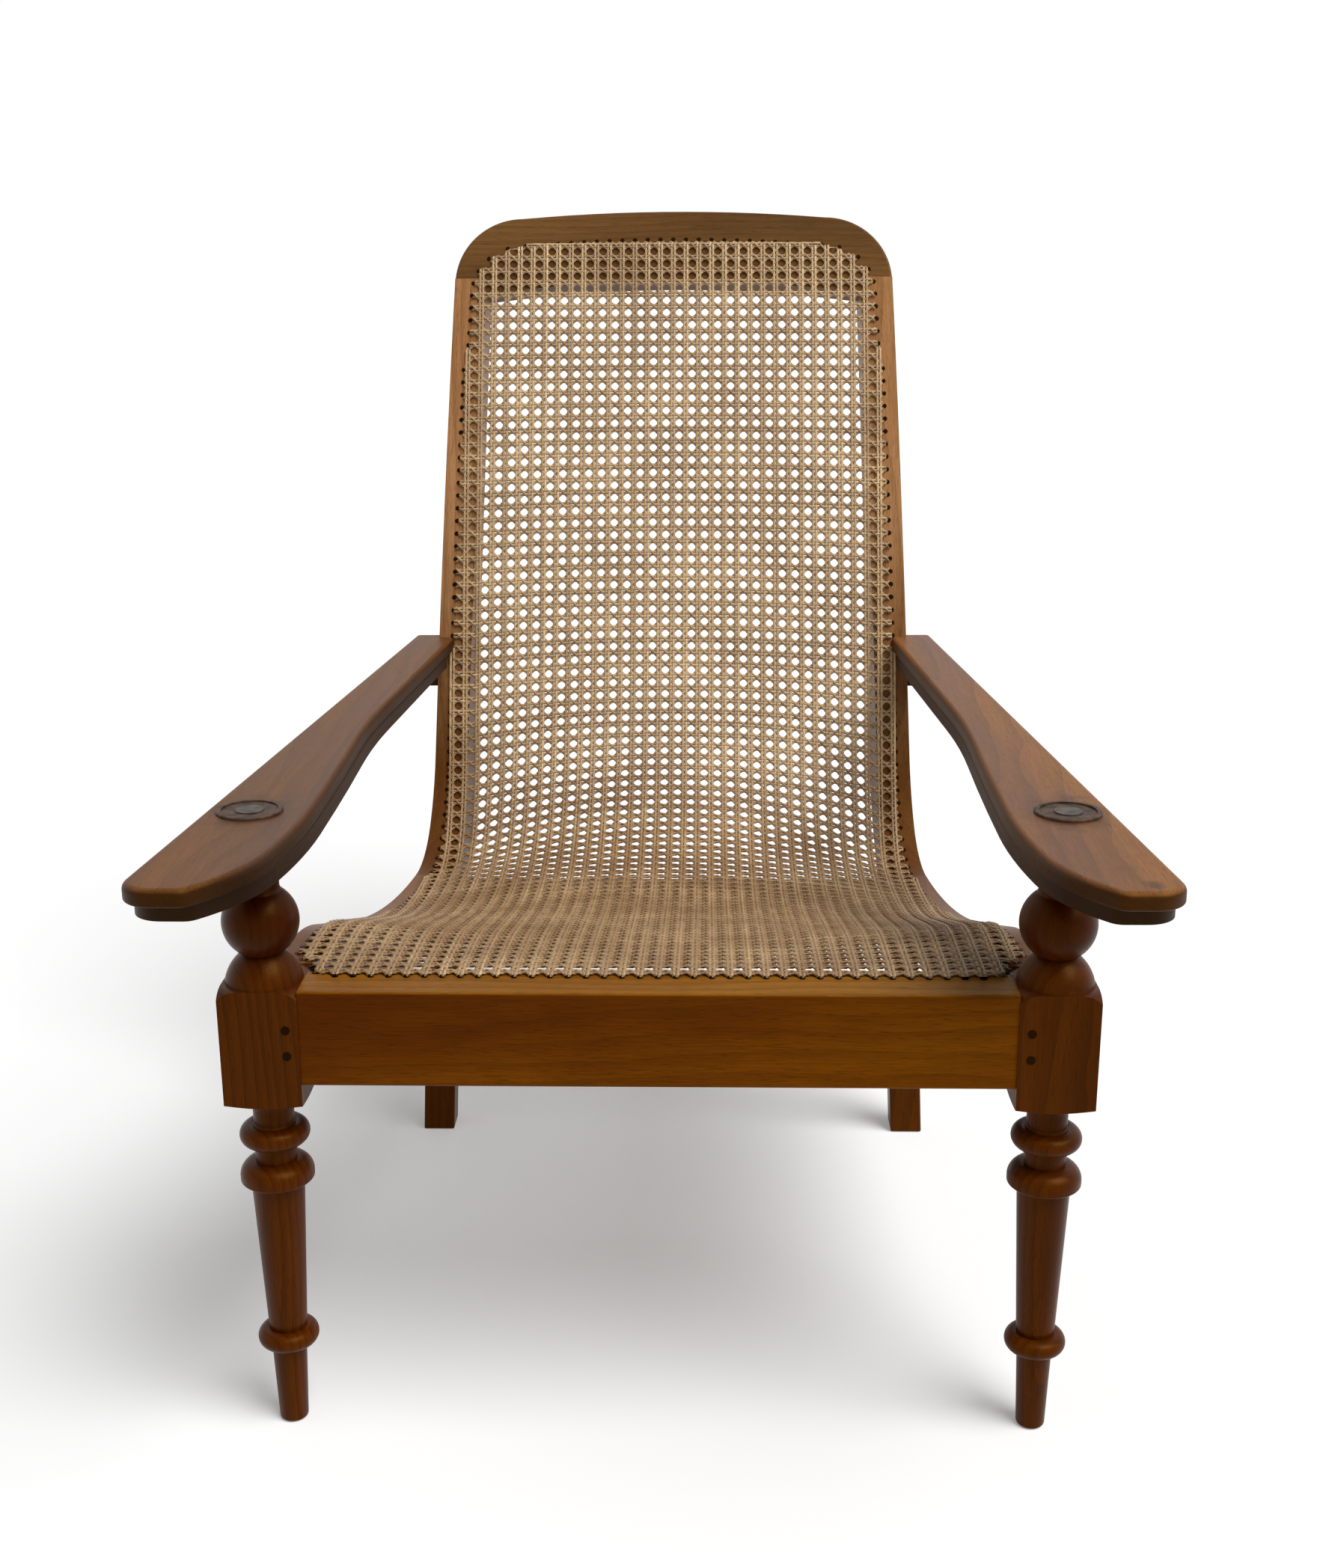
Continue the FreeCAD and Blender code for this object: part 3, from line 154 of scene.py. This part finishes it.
def teak(name, light, dark, line, grain=(0.0, 0.0, 0.0), pith=(0.07, 0.11), ring=0.008,
         roughness=0.42, specular=0.2, blotch=6.0, figure=0.45, tone_shift=None, light_and_shade_from=None):
    """Oiled teak. The grain runs along X once the wood is turned by the angles in grain.

    Faces that look up take the two tones given for the tops, where these are given: partly wear and
    partly painted light from above. With a pair of heights given, all wood changes to those tones
    between the lower height and the upper one, which paints light above the arms on the stiles and
    shade under the arms on the turned legs."""
    paint = bpy.data.materials.new(name)
    paint.use_nodes = True
    tree = paint.node_tree
    shader = tree.nodes["Principled BSDF"]
    turn = [math.radians(angle) for angle in grain]
    place = add(tree, "TexCoord").outputs["Object"]
    along = add(tree, "Mapping", {"Vector": place, "Rotation": turn}).outputs[0]

    def stretched(x, across):
        return add(tree, "Mapping", {"Vector": along, "Scale": (x, across, across)}).outputs[0]

    def mixed(share, first, second, mode="MIX"):
        made = add(tree, "Mix", {0: share, 6: first, 7: second}, data_type="RGBA", blend_type=mode)
        return made.outputs[2]

    drift = add(tree, "TexNoise", {"Vector": stretched(1.5, blotch), "Scale": 1.0, "Detail": 4.0,
                                   "Roughness": 0.55})
    warp = add(tree, "TexNoise", {"Vector": stretched(2.2, 9.0), "Scale": 1.0, "Detail": 2.0})
    sway = add(tree, "VectorMath", {0: warp.outputs["Color"], 1: (0.0, RING_SWAY, RING_SWAY)},
               operation="MULTIPLY")
    bent = add(tree, "VectorMath", {0: along, 1: sway.outputs[0]}, operation="ADD")
    cross = add(tree, "Mapping", {"Vector": bent.outputs[0], "Scale": (0.12, 1.0, 1.0),
                                  "Location": (0.0, pith[0], pith[1])})
    rings = add(tree, "TexWave", {"Vector": cross.outputs[0], "Scale": math.pi / (10.0 * ring),
                                  "Distortion": 1.4, "Detail": 3.0, "Detail Scale": 2.0},
                wave_type="RINGS", rings_direction="X", wave_profile="SAW")
    late = add(tree, "MapRange", {"Value": rings.outputs["Fac"], "From Min": 0.35,
                                  "From Max": 1.0, "To Min": 0.0, "To Max": figure})
    fibre = add(tree, "TexNoise", {"Vector": stretched(22.0, 700.0), "Scale": 1.0, "Detail": 3.0,
                                   "Roughness": 0.6})
    pores = add(tree, "TexNoise", {"Vector": stretched(70.0, 1900.0), "Scale": 1.0, "Detail": 1.0})
    open_pore = add(tree, "MapRange", {"Value": pores.outputs["Fac"], "From Min": 0.60,
                                       "From Max": 0.70, "To Min": 0.0, "To Max": 0.55})
    base_share = add(tree, "MapRange", {"Value": drift.outputs["Fac"], "From Min": 0.32,
                                        "From Max": 0.68})
    colour = mixed(base_share.outputs[0], dark, light)
    # Painted light and shade as well as wear: this change of tone, by face direction for tops and
    # by height where heights are given, stands in for light from above and shade under the arms.
    if tone_shift:
        measured = place if light_and_shade_from else add(tree, "TexCoord").outputs["Normal"]
        low, high = light_and_shade_from or FACES_UP
        rise = add(tree, "SeparateXYZ", {0: measured}).outputs["Z"]
        fray = TONE_SHIFT_FRAY * (high - low)
        uneven = add(tree, "Math", {0: drift.outputs["Fac"], 1: fray, 2: rise},
                     operation="MULTIPLY_ADD")
        shift_share = add(tree, "MapRange", {"Value": uneven.outputs[0], "From Min": low + fray / 2,
                                      "From Max": high + fray / 2})
        colour = mixed(shift_share.outputs[0], colour, mixed(base_share.outputs[0], *tone_shift))
    colour = mixed(late.outputs[0], colour, line)
    streak = add(tree, "MapRange", {"Value": fibre.outputs["Fac"], "From Min": 0.3, "From Max": 0.7,
                                    "To Min": 0.80, "To Max": 1.12})
    colour = mixed(1.0, colour, streak.outputs[0], "MULTIPLY")
    pore_tone = tuple(part * PORE_DARK for part in line[:3]) + (1.0,)
    colour = mixed(open_pore.outputs[0], colour, pore_tone)
    tree.links.new(colour, shader.inputs["Base Color"])
    rough = add(tree, "MapRange", {"Value": drift.outputs["Fac"], "From Min": 0.3, "From Max": 0.7,
                                   "To Min": roughness - 0.07, "To Max": roughness + 0.09})
    tree.links.new(rough.outputs[0], shader.inputs["Roughness"])
    shader.inputs["Specular IOR Level"].default_value = specular
    shader.inputs["Specular Tint"].default_value = OIL_TINT
    depth = add(tree, "Math", {0: fibre.outputs["Fac"], 1: open_pore.outputs[0]},
                operation="SUBTRACT")
    bump = add(tree, "Bump", {"Height": depth.outputs[0], "Strength": 0.25, "Distance": 0.0004})
    tree.links.new(bump.outputs[0], shader.inputs["Normal"])
    return paint


def finish(paint, *names):
    """Give CAD pieces their material in place of the plain one."""
    for name in names:
        nodes[name].data.materials.clear()
        nodes[name].data.materials.append(paint)


# The front rail's top face takes paler tones, partly wear and partly painted light from above.
rail_teak = teak("front_rail_teak", tone(132, 76, 2), tone(82, 38, 1), tone(78, 38, 1),
                 pith=(0.03, -0.19), ring=0.010, figure=0.35, specular=0.12,
                 tone_shift=(tone(136, 86, 24), tone(164, 114, 44)))
finish(rail_teak, "front_rail")
side_teak = teak("side_teak", tone(122, 76, 36), tone(90, 52, 22), tone(72, 40, 18),
                 grain=ALONG_Y, figure=0.3)
finish(side_teak, "side_rail_left", "side_rail_right")
# Painted light and shade: the stiles change to paler tones between 0.40 m and 0.72 m. This is light
# on them above the arms, with painted shade of the arms lower down.
stile_teak = teak("stile_teak", tone(106, 66, 34), tone(80, 46, 22), tone(68, 38, 20),
                  grain=(20.0, 90.0, 0.0), figure=0.3, light_and_shade_from=(0.40, 0.72),
                  tone_shift=(tone(160, 112, 72), tone(199, 150, 105)))
finish(stile_teak, "back_stile_left", "back_stile_right")
crest_teak = teak("crest_teak", tone(121, 86, 51), tone(82, 56, 34), tone(64, 40, 22), figure=0.3)
finish(crest_teak, "crest_rail", "rear_cross_rail")


# Front legs, turned with a square block left for the rails, and square rear legs. They are the
# darkest wood of the chair, and darker still in the shoulders and balls under the arms, which is
# painted shade of the arms.

# Painted shade: above 0.41 m the turned legs darken, standing in for the arms' shadow on the
# shoulders and balls.
leg_teak = teak("turned_leg_teak", tone(88, 43, 1), tone(58, 25, 1), tone(42, 17, 1),
                grain=ALONG_Z, roughness=0.34, specular=0.16, light_and_shade_from=(0.41, 0.44),
                tone_shift=(tone(48, 17, 2), tone(70, 29, 2)))
finish(leg_teak, "front_leg_left", "front_leg_right")
rear_leg_teak = teak("rear_leg_teak", tone(100, 52, 3), tone(76, 37, 2), tone(52, 24, 3),
                     grain=ALONG_Z)
finish(rear_leg_teak, "rear_leg_left", "rear_leg_right")


# Arms and their cleats: wide flat boards, greyer and duller than the rest where hands and cups
# have worn the finish. Their tops are paler than their edges, partly that wear and partly painted
# light from above; the darker edges are partly painted shade. The leg rests below are the same
# wood, darker.

KNOT = (0.343, -0.500, 0.007)
CAP_DARK_REACH = 0.004             # how far the darkening round a cap reaches past its rim
MARK_LENGTH = 0.7             # below 1, dark marks are longer along the arm than across it
MARK_CORE, MARK_RIM = 1.2, 2.0   # in radii, where a dark mark starts to fade and where it ends
MARK_FRAY = 1.6               # in radii, how far its edge is ragged
MARK_SHARE = 0.7              # of the dark tone, at its middle


def darkened_round(paint, places):
    """Darken wood round these places, a knot and the ring round each cap; each is (x, y, radius).
    """
    tree = paint.node_tree
    shader = tree.nodes["Principled BSDF"]
    place = add(tree, "TexCoord").outputs["Object"]
    ragged = add(tree, "TexNoise", {"Vector": place, "Scale": 70.0, "Detail": 4.0}).outputs["Fac"]
    for x, y, radius in places:
        offset = add(tree, "Mapping", {"Vector": place, "Scale": (1.0, MARK_LENGTH, 0.0),
                                       "Location": (-x, -MARK_LENGTH * y, 0.0)})
        away = add(tree, "VectorMath", {0: offset.outputs[0]}, operation="LENGTH").outputs["Value"]
        reach = add(tree, "Math", {0: ragged, 1: MARK_FRAY * radius, 2: away},
                    operation="MULTIPLY_ADD")
        share = add(tree, "MapRange", {"Value": reach.outputs[0], "From Min": MARK_CORE * radius,
                                       "From Max": MARK_RIM * radius, "To Min": MARK_SHARE,
                                       "To Max": 0.0})
        colour = shader.inputs["Base Color"].links[0].from_socket
        dark = add(tree, "Mix", {0: share.outputs[0], 6: colour, 7: tone(48, 28, 22)},
                   data_type="RGBA")
        tree.links.new(dark.outputs[2], shader.inputs["Base Color"])


# Painted light and shade: each arm's tops are paler and its edges darker, partly wear and partly
# light from above and shade on the sides.
for name, edges, tops in (("left", (tone(58, 33, 13), tone(40, 21, 8)),
                           (tone(77, 45, 23), tone(121, 79, 41))),
                          ("right", (tone(70, 40, 16), tone(48, 26, 9)),
                           (tone(100, 60, 34), tone(156, 105, 57)))):
    arm_teak = teak("arm_teak_" + name, *edges, tone(40, 22, 10), grain=ALONG_Y, roughness=0.46,
                    pith=(0.02, 0.14), blotch=9.0, figure=0.25, tone_shift=tops)
    # Each cap gets a dark ring round it, a little wider than the cap.
    low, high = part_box("pivot_cap_" + name)
    around_cap = ((low[0] + high[0]) / 2, (low[1] + high[1]) / 2,
                  (high[0] - low[0]) / 2 + CAP_DARK_REACH)
    darkened_round(arm_teak, [around_cap] + ([KNOT] if name == "right" else []))
    finish(arm_teak, "arm_" + name, "arm_cleat_" + name)
leaf_teak = teak("leg_rest_teak", tone(44, 28, 24), tone(32, 19, 16), tone(28, 16, 8),
                 grain=ALONG_Y, roughness=0.45)
finish(leaf_teak, "leg_rest_left", "leg_rest_right")


# Pegs: short dowels of dark hardwood. One or two are driven across each tenon, through the faces
# of the joint, and are left a little proud.

peg_wood = teak("peg_wood", tone(40, 20, 8), tone(24, 11, 5), tone(14, 7, 4), ring=0.003,
                specular=0.1)
finish(peg_wood, "front_rail_pegs", "side_rail_pegs", "stile_pegs", "rear_leg_pegs",
       "cross_rail_pegs", "crest_pegs")


# Pivot caps, bolts, washers and screws. Dished caps of dark iron, worn in patches, cover the bolts
# on which the leg rests swing. Bolts, washers and screws are plain steel.


def old_metal(name, dark, worn, roughness, metallic=0.85):
    """Patinated metal, dark with paler rubbed patches at random."""
    paint = bpy.data.materials.new(name)
    paint.use_nodes = True
    tree = paint.node_tree
    shader = tree.nodes["Principled BSDF"]
    place = add(tree, "TexCoord").outputs["Object"]
    cloud = add(tree, "TexNoise", {"Vector": place, "Scale": 120.0, "Detail": 5.0})
    speck = add(tree, "TexNoise", {"Vector": place, "Scale": 900.0, "Detail": 3.0})
    share = add(tree, "MapRange", {"Value": cloud.outputs["Fac"], "From Min": 0.38,
                                   "From Max": 0.66})
    colour = add(tree, "Mix", {0: share.outputs[0], 6: dark, 7: worn}, data_type="RGBA")
    tree.links.new(colour.outputs[2], shader.inputs["Base Color"])
    rough = add(tree, "MapRange", {"Value": speck.outputs["Fac"], "To Min": roughness - 0.1,
                                   "To Max": roughness + 0.15})
    tree.links.new(rough.outputs[0], shader.inputs["Roughness"])
    shader.inputs["Metallic"].default_value = metallic
    bump = add(tree, "Bump", {"Height": speck.outputs["Fac"], "Strength": 0.2, "Distance": 0.0003})
    tree.links.new(bump.outputs[0], shader.inputs["Normal"])
    return paint


cap_metal = old_metal("cap_metal", tone(50, 36, 25), tone(87, 65, 48), 0.58, metallic=0.5)
finish(cap_metal, "pivot_cap_left", "pivot_cap_right")
steel = old_metal("plain_steel", tone(58, 50, 44), tone(92, 84, 76), 0.5, metallic=0.7)
finish(steel, "pivot_bolt_left", "pivot_bolt_right", "pivot_washers_left", "pivot_washers_right",
       "arm_screws", "cleat_screws")


# Cane: split rattan, woven by hand through a row of drilled holes in six sets of strands. Pairs of
# uprights and crossings are woven square, and one diagonal each way runs over and under them.
# It is drawn flat, strand by strand, and then bent over the seat and back.

COLUMN_PITCH = 0.0143          # 9/16 inch, the spacing of the holes for cane of this width
PAIR_GAP = 0.00165             # each strand of a pair from the middle of the pair
STRAND_WIDTH = 0.0029
DIAGONAL_WIDTH = 0.0026
STRAND_THICKNESS = 0.0013
WEAVE_RISE = 0.0006            # over and under between the pairs
DIAGONAL_RISE = 0.0014
CANE_LIFT = 0.0022             # middle of the weave above the wood
CANE_START = 0.004             # behind the line from which the seat's taper is measured
FRONT_Y, FRONT_Z = CANE_START - 0.332798, 0.4015
SEAT_RUNS = ((0.081, 0.0), (0.06632, -19.0), (0.106, 0.0), (0.25965, 19.0), (0.07854, 50.0),
             (0.08029, 23.0), (0.53756, -5.5), (0.09, 0.0))   # length, and degrees of turn
SEAM = sum(length for length, turn in SEAT_RUNS[:-1])      # where the stiles meet the crest
CREST_RISE = 0.044             # top edge of the cane above the seam, at the middle
CANE_TOP = SEAM + CREST_RISE
ROWS = 88
ROW_PITCH = CANE_TOP / ROWS
COLUMNS = range(-20, 21)


def on_sweep(way):
    """Depth, height and heading of the seat and back, this far from the cane's front edge."""
    y, z, heading = FRONT_Y, FRONT_Z, 0.0
    for length, turn in SEAT_RUNS:
        step = min(way, length)
        bend = math.radians(turn) * step / length
        middle = heading + bend / 2
        chord = step if turn == 0 else 2 * math.sin(bend / 2) * length / math.radians(turn)
        y, z, heading = y + chord * math.cos(middle), z + chord * math.sin(middle), heading + bend
        way -= step
        if way <= 0:
            break
    return y + way * math.cos(heading), z + way * math.sin(heading), heading


SEAT_HALF, SEAT_TAPER = 0.3025, 0.0915     # half width in front, and its loss over the depth
FRONT_HALF, FRONT_FLARE = 0.271, 0.565     # half width at the front edge, and its growth
BLOCK_WAY, BLOCK_HALF = 0.030, 0.2805      # the cane stays clear of the legs' square blocks
CREST_WAY = 0.1                # below the seam, from where the back's own edge is followed
BACK_HALF, BACK_TAPER = 0.2254, 0.0536
CORNER_X, CORNER_DROP, CORNER_RADIUS = 0.1704, 0.0185, 0.055
CREST_CROWN = 0.0075           # how much the top edge falls from its middle to its corners


def inside(x, way):
    """Whether a point of the flat cane is inside its edge."""
    x = abs(x)
    if not 0 <= way <= CANE_TOP or x > FRONT_HALF + FRONT_FLARE * way:
        return False
    if way < BLOCK_WAY and x > BLOCK_HALF:
        return False
    if way < SEAM - CREST_WAY:
        return x <= SEAT_HALF - SEAT_TAPER * (on_sweep(way)[0] - FRONT_Y + CANE_START)
    rise = way - SEAM
    if rise < -CORNER_DROP:
        return x <= BACK_HALF - BACK_TAPER * (rise + CORNER_DROP)
    if x <= CORNER_X:
        return rise <= CREST_RISE - CREST_CROWN * (x / CORNER_X) ** 2
    return (x - CORNER_X) ** 2 + (rise + CORNER_DROP) ** 2 <= CORNER_RADIUS ** 2


HALVINGS = 14


def edge_from(start, toward):
    """The last point inside the edge on the line from a point inside to one outside."""
    low, high = 0.0, 1.0
    start, toward = Vector(start), Vector(toward)
    for halving in range(HALVINGS):
        share = (low + high) / 2
        low, high = (share, high) if inside(*start.lerp(toward, share)) else (low, share)
    return start.lerp(toward, low)


# Between the rails the weave is pulled straight and leaves the hollow of the frame, as any skin
# stretched over it would. Its middle line is the frame's own line, evened out many times over. It
# is shorter than that line but has as many rows, so the rows stand closer there and bow upwards.

LINE_STEP = 0.01
EVENED = 300                   # how often each point is moved to the mean of its neighbours
ROW_DRIFT = 0.4                # 1 would space the rows evenly along the middle line
FREE_FROM, FREE_TO = 2, round((SEAM - 0.004) / LINE_STEP)   # steps clear of front rail and crest
FREE_HALF = 0.3015             # half width of the cane in front, as it lies
RAIL_UNDER = 0.021             # strip of it that rests on the side rails
frame_line = [Vector(on_sweep(step * LINE_STEP)[:2])
              for step in range(round(CANE_TOP / LINE_STEP) + 6)]
evened = frame_line[FREE_FROM:FREE_TO + 1]
for repeat in range(EVENED):
    means = [(before + here + after) / 3
             for before, here, after in zip(evened, evened[1:], evened[2:])]
    evened = [evened[0]] + means + [evened[-1]]
run_to = [0.0]
for before, after in zip(evened, evened[1:]):
    run_to.append(run_to[-1] + (after - before).length)
middle_line, passed = list(frame_line), 0
for step in range(FREE_FROM, FREE_TO + 1):
    goal = run_to[-1] * (step - FREE_FROM) / (FREE_TO - FREE_FROM)
    while passed < len(run_to) - 2 and run_to[passed + 1] < goal:
        passed += 1
    share = (goal - run_to[passed]) / (run_to[passed + 1] - run_to[passed])
    even = evened[passed].lerp(evened[passed + 1], share)
    middle_line[step] = evened[step - FREE_FROM].lerp(even, ROW_DRIFT)


def lay(point, rise):
    """Bend a point of the flat cane, given in metres across and along, onto the chair."""
    step = min(max(point[1], 0.0) / LINE_STEP, len(frame_line) - 2.001)
    low, share = int(step), step % 1.0
    frame_here = frame_line[low].lerp(frame_line[low + 1], share)
    middle_here = middle_line[low].lerp(middle_line[low + 1], share)
    free = FREE_HALF - SEAT_TAPER * (frame_here.x - FRONT_Y) - RAIL_UNDER
    pulled = max(0.0, 1.0 - (point[0] / free) ** 2)
    here = frame_here.lerp(middle_here, pulled)
    along = (frame_line[low + 1] - frame_line[low]).lerp(middle_line[low + 1] - middle_line[low],
                                                        pulled).normalized()
    lift = CANE_LIFT + rise
    return Vector((point[0], here.x - lift * along.y, here.y + lift * along.x))


# The cane is tied through a row of holes along its edge, one at each end of a row or column,
# except where two would run into each other. Each hole is stopped by a small dark peg.

PAST_EDGE = 0.4                # from the middle, beyond either side of the cane
PAST_END = 0.1                 # beyond the front and top edges
IN_BEND, ON_SEAT = 0.6, 0.1    # ways from which columns are followed to their ends
CREST_HALF, BEND_HALF = 0.215, 0.24        # columns further out miss the crest, or the bend
HOLES_APART = 0.6              # of a row's pitch

holes = []
for row in range(ROWS):
    middle = Vector((0.0, (row + 0.5) * ROW_PITCH))
    rim = edge_from(middle, middle + Vector((PAST_EDGE, 0.0)))
    holes += [rim, Vector((-rim.x, rim.y))]
for column in COLUMNS:
    for way in (-PAST_END, CANE_TOP + PAST_END):
        start = Vector((column * COLUMN_PITCH, IN_BEND))
        if abs(start.x) > CREST_HALF and way > 0:
            continue
        if abs(start.x) > BEND_HALF:
            start.y = ON_SEAT
        rim = edge_from(start, (start.x, way))
        if min((rim - hole).length for hole in holes) > HOLES_APART * ROW_PITCH:
            holes.append(rim)


SINK = 0.0045                  # how deep a strand's end is drawn down
HOLE_REACH = 0.011             # strands that end this near to a hole go into it
TONE_SPREAD = 0.3              # of strands of one set, to either side of its own tone
SECTION = ((-0.5, -0.5), (-0.3, 0.5), (0.3, 0.5), (0.5, -0.5), (-0.5, -0.5))   # domed on top


def strand(bm, tones, places, width, side, wave, painted_lightness):
    """One strand through these flat points; its ends are drawn down into the nearest holes.

    wave holds the strand's height at each point. side sets it off from the pair's middle."""
    along = (places[-1] - places[0]).normalized()
    aside = Vector((-along.y, along.x))
    strip = bmesh.ops.create_grid(bm, x_segments=len(places) - 1, y_segments=4, size=0.5)["verts"]
    centres = [place + aside * side for place in places]
    sinks = [0.0] * len(places)
    for end in (0, -1):
        near = min(holes, key=lambda hole: (hole - places[end]).length)
        if (near - places[end]).length < HOLE_REACH:
            centres[end] = near.copy()
        sinks[end] = SINK
    # A strand's tone is its set's painted lightness, with random tone to either side.
    shade = random.uniform(painted_lightness - TONE_SPREAD, painted_lightness + TONE_SPREAD)
    spots = [[lay(centre + aside * across * width, height + thick * STRAND_THICKNESS - sink)
              for across, thick in SECTION]
             for centre, height, sink in zip(centres, wave, sinks)]
    for vert in strip:
        vert.co = spots[round((vert.co.x + 0.5) * (len(places) - 1))][round((vert.co.y + 0.5) * 4)]
        vert[tones] = shade


def cane_piece(name, lines, width, height, painted_lightness):
    """One object for all strands that run one way. Each line is (side, points, heights)."""
    bm = bmesh.new()
    tones = bm.verts.layers.float.new("strand_tone_and_shade")
    for side, places, heights in lines:
        held = [k for k, place in enumerate(places) if inside(*place)]
        if len(held) < 3:
            continue
        first, last = held[0], held[-1]
        run = [edge_from(places[first], places[first - 1])] + places[first:last + 1]
        run.append(edge_from(places[last], places[last + 1]))
        wave = [0.0] + [rise + height for rise in heights[first:last + 1]] + [0.0]
        strand(bm, tones, run, width, side, wave, painted_lightness)
    bmesh.ops.remove_doubles(bm, verts=bm.verts, dist=0.00002)
    bmesh.ops.recalc_face_normals(bm, faces=bm.faces)
    return mesh_piece(name, bm)


DIP_AT = 0.09                  # of a pitch, to either side of the middle of a crossed pair
CROSSING_REACH = 22            # columns to either side of the middle, past the cane's edge
DIAGONAL_REACH = 23            # the same for the diagonals, and rows past either end


def crossing_places(pairs, place, sign):
    """Points and heights of one strand of a pair, down at one strand that it crosses and up at
    the next. Pairs are counted, and place gives the point for a count."""
    steps = [(pair + share, rise) for pair in range(-1, pairs + 1)
             for share, rise in ((-DIP_AT, -sign), (DIP_AT, sign), (0.5, 0.0))]
    return [place(step) for step, rise in steps], [rise * WEAVE_RISE for step, rise in steps]


def upright(column, side):
    """One strand that runs from the front rail to the crest."""
    def place(row):
        return Vector((column * COLUMN_PITCH, (row + 0.5) * ROW_PITCH))
    return (side * PAIR_GAP, *crossing_places(ROWS + 1, place, side))


def crossing(row, side):
    """One strand that runs from side to side."""
    def place(column):
        return Vector(((column - CROSSING_REACH) * COLUMN_PITCH, (row + 0.5) * ROW_PITCH))
    return (side * PAIR_GAP, *crossing_places(2 * CROSSING_REACH, place, side))


def diagonal(row, slope):
    """One strand that runs over the uprights and under the crossings, or the other way round."""
    steps = [quarter / 4 for quarter in range(-4 * DIAGONAL_REACH, 4 * DIAGONAL_REACH + 1)]
    return (0.0,
            [Vector((step * COLUMN_PITCH, (row + step * slope) * ROW_PITCH)) for step in steps],
            [slope * DIAGONAL_RISE * math.cos(2 * math.pi * step) for step in steps])


random.seed(7)
uprights = [upright(column, side) for column in COLUMNS for side in (-1, 1)]
crossings = [crossing(row, side) for row in range(ROWS) for side in (-1, 1)]
# Painted light and shade: the uprights are the palest set, the crossings darker and the diagonals
# darkest. This stands in for light on the top strands and shade on the lower ones.
pieces = [cane_piece("cane_uprights", uprights, STRAND_WIDTH, height=0.0005, painted_lightness=0.72),
          cane_piece("cane_crossings", crossings, STRAND_WIDTH, height=0.0, painted_lightness=0.5)]
for name, slope in (("cane_diagonals_rising", 1), ("cane_diagonals_falling", -1)):
    diagonals = [diagonal(row, slope)
                 for row in range(-DIAGONAL_REACH - 1, ROWS + DIAGONAL_REACH + 1)]
    pieces.append(cane_piece(name, diagonals, DIAGONAL_WIDTH, height=-0.0003, painted_lightness=0.32))

cane = bpy.data.materials.new("cane")
cane.use_nodes = True
tree = cane.node_tree
shader = tree.nodes["Principled BSDF"]
own = add(tree, "Attribute", attribute_name="strand_tone_and_shade").outputs["Fac"]
place = add(tree, "TexCoord").outputs["Object"]
cloud = add(tree, "TexNoise", {"Vector": place, "Scale": 14.0, "Detail": 4.0})
fleck = add(tree, "TexNoise", {"Vector": place, "Scale": 260.0, "Detail": 3.0})
colour = add(tree, "Mix", {0: own, 6: tone(134, 102, 68), 7: tone(226, 192, 144)},
             data_type="RGBA")
height = add(tree, "SeparateXYZ", {0: place}).outputs["Z"]
# The cane grows darker below 0.44 m, over the seat.
seat_darker = add(tree, "MapRange", {"Value": height, "From Min": 0.44, "From Max": 0.39,
                                "To Min": 0.0, "To Max": 0.35})
patches = add(tree, "MapRange", {"Value": cloud.outputs["Fac"], "From Min": 0.35,
                                 "From Max": 0.7, "To Min": 0.0, "To Max": 0.45})
tone_shift = add(tree, "Math", {0: patches.outputs[0], 1: seat_darker.outputs[0]})
colour = add(tree, "Mix", {0: tone_shift.outputs[0], 6: colour.outputs[2], 7: tone(122, 86, 52)},
             data_type="RGBA")
spots = add(tree, "MapRange", {"Value": fleck.outputs["Fac"], "From Min": 0.3, "From Max": 0.7,
                               "To Min": 0.84, "To Max": 1.08})
colour = add(tree, "Mix", {0: 1.0, 6: colour.outputs[2], 7: spots.outputs[0]}, data_type="RGBA",
             blend_type="MULTIPLY")
tree.links.new(colour.outputs[2], shader.inputs["Base Color"])
shader.inputs["Roughness"].default_value = 0.42
shader.inputs["Specular IOR Level"].default_value = 0.4
for piece in pieces:
    piece.data.materials.append(cane)
    piece.data.shade_smooth()
    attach(piece, "chair_frame")
    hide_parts("cane_panel")

PLUG_RADIUS, PLUG_HEIGHT = 0.0026, 0.0008

bm = bmesh.new()
for hole in holes:
    peg = bmesh.ops.create_cone(bm, cap_ends=True, segments=10, radius1=PLUG_RADIUS,
                                radius2=PLUG_RADIUS, depth=PLUG_HEIGHT)["verts"]
    heading = on_sweep(hole.y)[2]
    bmesh.ops.rotate(bm, verts=peg, matrix=Matrix.Rotation(heading, 3, "X"))
    bmesh.ops.translate(bm, vec=lay(hole, -CANE_LIFT), verts=peg)
plugs = mesh_piece("cane_plugs", bm)
plugs.data.materials.append(peg_wood)
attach(plugs, "chair_frame")
